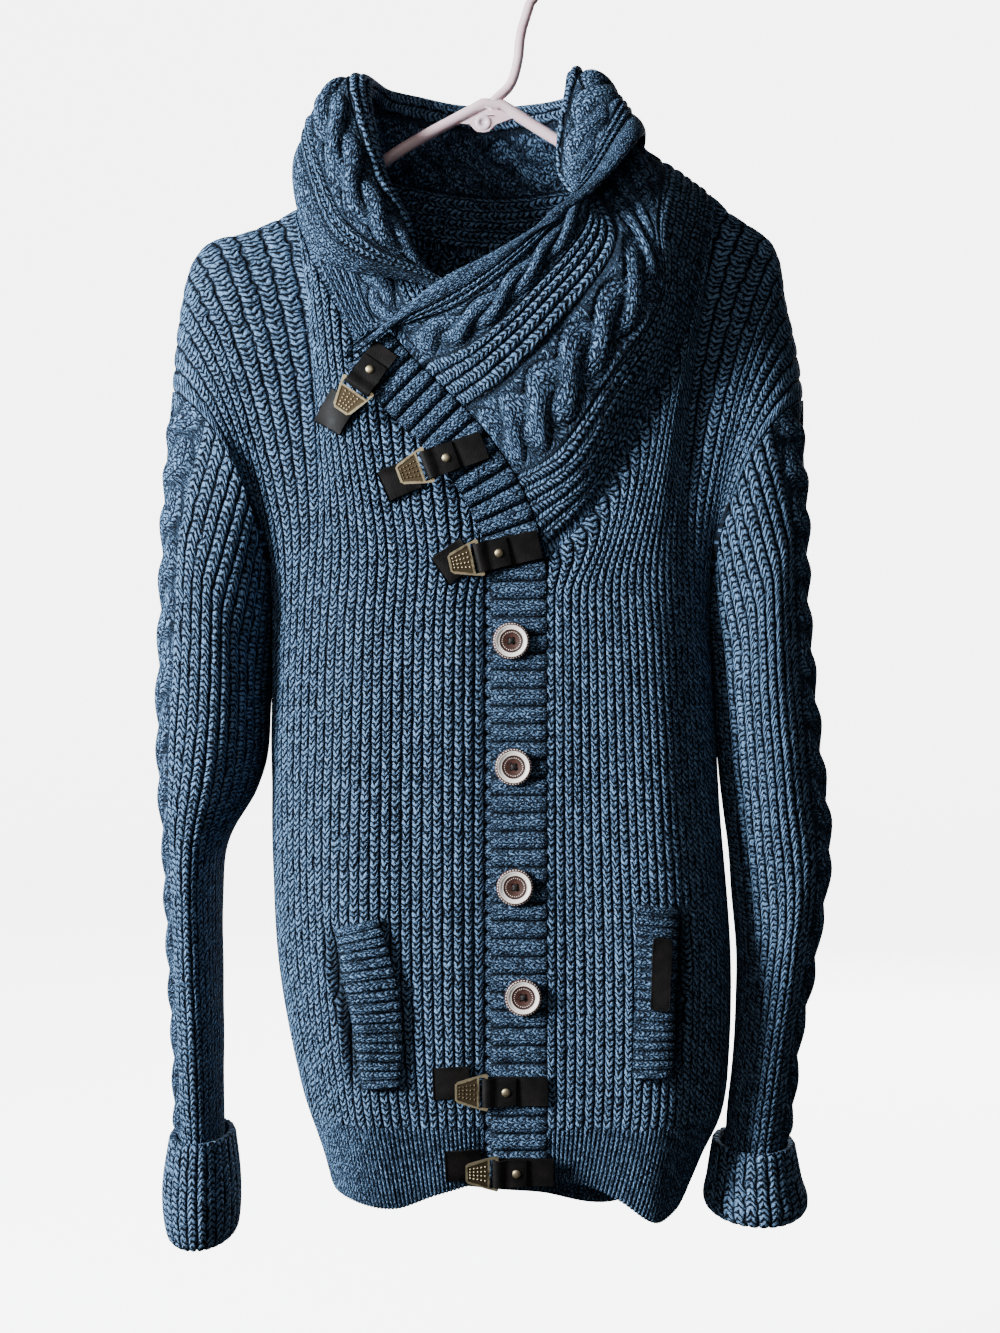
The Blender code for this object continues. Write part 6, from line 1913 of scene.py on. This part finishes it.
class CardiganYarn(bpy.types.PropertyGroup):
    # Darkest ply, and the colour of the painted shade in holes, grooves and dips.
    yarn_dark_and_shade: colour_text("Dark yarn", "Navy ply of the yarn, sRGB hex", "03070c")
    yarn_middle: colour_text("Middle yarn", "Where the plies blend, sRGB hex", "0d1b2e")
    yarn_light: colour_text("Light yarn", "Lit ply of the yarn, sRGB hex", "2c4866")
    yarn_pale: colour_text("Pale yarn", "Palest flecks of the yarn, sRGB hex", "8bb2dc")


class CardiganTrim(bpy.types.PropertyGroup):
    leather_dark: colour_text("Leather", "Waxed leather, sRGB hex", "0b0908")
    leather_worn: colour_text("Worn leather", "Rubbed leather, sRGB hex", "191412")
    brass_dark: colour_text("Tarnish", "Browned brass, sRGB hex", "5a4d3a")
    brass_bright: colour_text("Brass", "Rubbed brass, sRGB hex", "b0a080")
    button_ivory: colour_text("Button rim", "Ivory resin, sRGB hex", "f1e6dc")
    button_brown: colour_text("Button centre", "Brown resin, sRGB hex", "4b3029")
    button_umber: colour_text("Button dark", "Dark streaks, sRGB hex", "2a1813")
    thread_dark: colour_text("Thread", "Waxed thread, sRGB hex", "060505")
    thread_light: colour_text("Thread light", "Light on thread, sRGB hex", "1c1815")


class CardiganHanger(bpy.types.PropertyGroup):
    hanger_pink: colour_text("Hanger", "Pink plastic, sRGB hex", "e3bfc4")
    hanger_pale: colour_text("Hanger light", "Paler pink, sRGB hex", "efd3d6")


class CardiganStage(bpy.types.PropertyGroup):
    paper: colour_text("Paper", "Background paper, sRGB hex", "f6f6f5")
    paper_shade: colour_text("Paper tooth", "Pits of the paper, sRGB hex", "eeeeec")
    paper_glow: FloatProperty(
        name="Paper glow", description="Light through the paper", default=6.0, min=0.0,
    )
    floor_drop: FloatProperty(
        name="Floor", description="Floor below the hook", default=1.15, unit="LENGTH",
    )
    key_power: FloatProperty(
        name="Key light", description="Power of the soft key light", default=370.0,
        unit="POWER",
    )
    fill_power: FloatProperty(
        name="Fill light", description="Power of the weak fill light", default=14.0,
        unit="POWER",
    )
    key_tint: FloatVectorProperty(
        name="Key tint", description="Colour of the key light", subtype="COLOR",
        default=(0.86, 0.93, 1.0), min=0.0, max=1.0,
    )


# ==========================================================
# Operators
# ==========================================================
class CARDIGAN_OT_stage(bpy.types.Operator):
    """Floor, backdrop, soft lights and the camera"""

    bl_idname = "cardigan.stage"
    bl_label = "Stage"

    def execute(self, context):
        settings = context.scene.cardigan_stage
        bm = cove_mesh(-settings.floor_drop)
        mesh = bpy.data.meshes.new("paper_sweep")
        bm.to_mesh(mesh)
        bm.free()
        mesh.shade_smooth()
        mesh.materials.append(studio_paper(settings))
        sweep = bpy.data.objects.new("paper_sweep", mesh)
        context.scene.collection.objects.link(sweep)
        # The paper throws no light back on to the wool, leather or brass.
        sweep.visible_diffuse = False
        sweep.visible_glossy = False

        for light in (
            ("key", settings.key_power, KEY_PLACE, KEY_SIZE, settings.key_tint),
            ("fill", settings.fill_power, FILL_PLACE, FILL_SIZE, FILL_TINT),
            ("back_light", settings.fill_power * BACK_SHARE, BACK_PLACE, FILL_SIZE,
             BACK_TINT),
        ):
            self.light(context, *light)
        world = bpy.data.worlds.new("studio")
        world.use_nodes = True
        room = world.node_tree.nodes["Background"].inputs
        room["Color"].default_value = ROOM_TINT
        room["Strength"].default_value = ROOM_STRENGTH
        context.scene.world = world
        self.camera(context)
        return {"FINISHED"}

    @staticmethod
    def camera(context):
        """Add the camera, level and square to the garment's front."""
        data = bpy.data.cameras.new("camera")
        data.sensor_fit = "HORIZONTAL"
        data.sensor_width = SENSOR
        data.lens = SENSOR * -CAMERA_PLACE[1] / VIEW_WIDTH
        camera = bpy.data.objects.new("camera", data)
        camera.location = Vector(CAMERA_PLACE) * MM
        camera.rotation_euler = (math.pi / 2, 0, 0)
        context.scene.collection.objects.link(camera)
        context.scene.camera = camera

    @staticmethod
    def light(context, name, power, place, size, tint):
        """Add one square soft light that points at the garment."""
        data = bpy.data.lights.new(name, "AREA")
        data.energy = power
        data.size = size
        data.color = tint
        lamp = bpy.data.objects.new(name, data)
        lamp.location = place
        aim = Vector(AIM) - lamp.location
        lamp.rotation_euler = aim.to_track_quat("-Z", "Y").to_euler()
        context.scene.collection.objects.link(lamp)


class CARDIGAN_OT_hanger(bpy.types.Operator):
    """Plastic hanger: hook, arms and gusset"""

    bl_idname = "cardigan.hanger"
    bl_label = "Hanger"

    def execute(self, context):
        settings = context.scene.cardigan_hanger
        finish_mesh("hanger_moulding", hanger_mesh(), [pink_polypropylene(settings)],
                    ["hanger"])
        return {"FINISHED"}


class CARDIGAN_OT_body(bpy.types.Operator):
    """Left front, right front and back"""

    bl_idname = "cardigan.body"
    bl_label = "Body panels"

    def execute(self, context):
        pocket_dip(panel("left_front_panel"), LEFT_WELT)
        pocket_dip(panel("right_front_panel"), RIGHT_WELT)
        for name, flat, area in (
            ("left_front_panel", (215, 650), 110000),
            ("right_front_panel", (215, 650), 110000),
            ("back_panel", (400, 650), 235000),
        ):
            piece = knit_piece(context, name, panel(name))
        return {"FINISHED"}


class CARDIGAN_OT_hems(bpy.types.Operator):
    """Ribbed hems below the panels"""

    bl_idname = "cardigan.hems"
    bl_label = "Hems"

    def execute(self, context):
        for name, row_at, ribs, edge, flat, area in (
            ("left_front_hem", left_front_row, FRONT_RIBS, FRONT_HEM, (190, 62), 11000),
            ("right_front_hem", right_front_row, FRONT_RIBS, FRONT_HEM, (190, 62), 11000),
            ("back_hem", back_row, BACK_RIBS, BACK_HEM, (350, 75), 23500),
        ):
            cloth = hem_cloth(row_at, ribs, edge)
            PANELS[name] = cloth
            piece = knit_piece(context, name, cloth)
        return {"FINISHED"}


class CARDIGAN_OT_sleeves(bpy.types.Operator):
    """Sleeves with their cables"""

    bl_idname = "cardigan.sleeves"
    bl_label = "Sleeves"

    def execute(self, context):
        for name, table in (("right_sleeve", SLEEVE_RIGHT), ("left_sleeve", SLEEVE_LEFT)):
            piece = knit_piece(context, name, sleeve_cloth(table))
        return {"FINISHED"}


class CARDIGAN_OT_cuffs(bpy.types.Operator):
    """Turned-back cuffs"""

    bl_idname = "cardigan.cuffs"
    bl_label = "Cuffs"

    def execute(self, context):
        for name, table, sleeve in (
            ("right_cuff", CUFF_RIGHT, SLEEVE_RIGHT), ("left_cuff", CUFF_LEFT, SLEEVE_LEFT),
        ):
            cloth = cuff_cloth(table, sleeve[-1])
            piece = knit_piece(context, name, cloth, centred=True)
        return {"FINISHED"}


class CARDIGAN_OT_bands(bpy.types.Operator):
    """Over band and under band of the front closure"""

    bl_idname = "cardigan.bands"
    bl_label = "Front bands"

    def execute(self, context):
        for name, place_at, length, depth, above in (
            ("left_front_band", over_band, BAND_KNOTS[-1], 3.6, "left_front_panel_knit"),
            ("right_front_band", under_band, UNDER_BAND_LENGTH, 2.2, "right_front_panel_knit"),
        ):
            cloth = strip_cloth(place_at, length, BAND_HALF, BAND_RIB_PITCH, depth)
            piece = knit_piece(context, name, cloth)
        return {"FINISHED"}


class CARDIGAN_OT_collar(bpy.types.Operator):
    """Shawl collar with two cables along it"""

    bl_idname = "cardigan.collar"
    bl_label = "Collar"

    def execute(self, context):
        piece = knit_piece(context, "shawl_collar", collar_cloth(), centred=True)
        return {"FINISHED"}


class CARDIGAN_OT_pockets(bpy.types.Operator):
    """Ribbed pocket welts and the plain leather patch"""

    bl_idname = "cardigan.pockets"
    bl_label = "Pockets"

    def execute(self, context):
        for side, table in (("right", RIGHT_WELT), ("left", LEFT_WELT)):
            cloth = welt_cloth(table, panel(side + "_front_panel"))
            piece = knit_piece(context, side + "_pocket_welt", cloth, wall=WELT_WALL)
        self.patch(context)
        return {"FINISHED"}

    @staticmethod
    def patch(context):
        """Add the leather patch on the left welt."""
        front = panel("left_front_panel")
        base = WELT_WALL + 1.3 + WELT_GAP + 1.2
        keys = []
        for k in range(5):
            along = mix(PATCH_FROM, PATCH_TO, k / 4)
            keys.append([
                welt_point(LEFT_WELT, front, along, across, base)
                for across in (PATCH_IN, PATCH_OUT)
            ])
        bm = parametric_slab(10, 24, False)
        for vert in bm.verts:
            u, v, side = vert.co
            a, b = row_between(range(5), keys, v * 4)
            out = PATCH_THICK * (1 - side)
            vert.co = (a.lerp(b, u) + Vector((0, -out, 0))) * MM
        soften(bm, 0.35 * MM, 2, 50)
        finish_mesh("pocket_patch_leather", bm,
                    [waxed_leather(context.scene.cardigan_trim)],
                    ["pocket_patch"], 40)


class CARDIGAN_OT_buttons(bpy.types.Operator):
    """Four-hole buttons sewn on with crossed thread"""

    bl_idname = "cardigan.buttons"
    bl_label = "Buttons"

    def execute(self, context):
        settings = context.scene.cardigan_trim
        for n, (x, z) in enumerate(zip(BUTTON_X, BUTTON_HEIGHTS), 1):
            place = button_place(x, z)
            finish_mesh(f"button_{n}_resin", button_mesh(place), [horn_resin(settings)],
                        [f"button_{n}"], 35)
            finish_mesh(f"button_{n}_thread", thread_mesh(place), [waxed_thread(settings)],
                        [])
        return {"FINISHED"}


class CARDIGAN_OT_clasps(bpy.types.Operator):
    """Leather strap clasps with brass plates and rivets"""

    bl_idname = "cardigan.clasps"
    bl_label = "Clasps"

    def execute(self, context):
        settings = context.scene.cardigan_trim
        leather, brass = [waxed_leather(settings)], [antique_brass(settings)]
        front, hem = panel("right_front_panel"), PANELS["right_front_hem"]
        for n, row in enumerate(CLASPS, 1):
            place = clasp_frame(row)
            for part, bm, material, slot in (
                ("strap", strap_mesh(row[3]), leather, "dark_leather"),
                ("plate", plate_mesh(), brass, "aged_brass"),
                ("rivet", rivet_mesh(), brass, "aged_brass"),
            ):
                bm.transform(place)
                finish_mesh(f"clasp_{n}_{part}_piece", bm, material,
                            [f"clasp_{n}_{part}"], 35)
            finish_mesh(f"clasp_{n}_base_piece", base_mesh(row, front, hem), leather,
                        [f"clasp_{n}_base"], 40)
        return {"FINISHED"}


OPERATORS = (
    CARDIGAN_OT_stage, CARDIGAN_OT_hanger, CARDIGAN_OT_body, CARDIGAN_OT_hems,
    CARDIGAN_OT_sleeves, CARDIGAN_OT_cuffs, CARDIGAN_OT_bands, CARDIGAN_OT_collar,
    CARDIGAN_OT_pockets, CARDIGAN_OT_buttons, CARDIGAN_OT_clasps,
)


class CARDIGAN_PT_panel(bpy.types.Panel):
    """Sizes, colours and steps of the cardigan"""

    bl_idname = "CARDIGAN_PT_panel"
    bl_label = "Cardigan"
    bl_space_type = "VIEW_3D"
    bl_region_type = "UI"
    bl_category = "Cardigan"

    def draw(self, context):
        for name in SETTINGS:
            group = getattr(context.scene, name)
            for key in group.__annotations__:
                self.layout.prop(group, key)
        for operator in OPERATORS:
            self.layout.operator(operator.bl_idname)


SETTINGS = {
    "cardigan_yarn": CardiganYarn,
    "cardigan_trim": CardiganTrim,
    "cardigan_hanger": CardiganHanger,
    "cardigan_stage": CardiganStage,
}


def register():
    for kind in (*SETTINGS.values(), *OPERATORS, CARDIGAN_PT_panel):
        bpy.utils.register_class(kind)
    for name, group in SETTINGS.items():
        setattr(bpy.types.Scene, name, PointerProperty(type=group))


def unregister():
    for name in SETTINGS:
        delattr(bpy.types.Scene, name)
    for kind in (CARDIGAN_PT_panel, *reversed(OPERATORS), *SETTINGS.values()):
        bpy.utils.unregister_class(kind)


def main():
    register()
    for operator in OPERATORS:
        group, step = operator.bl_idname.split(".")
        getattr(getattr(bpy.ops, group), step)()


if __name__ == "__main__":
    main()
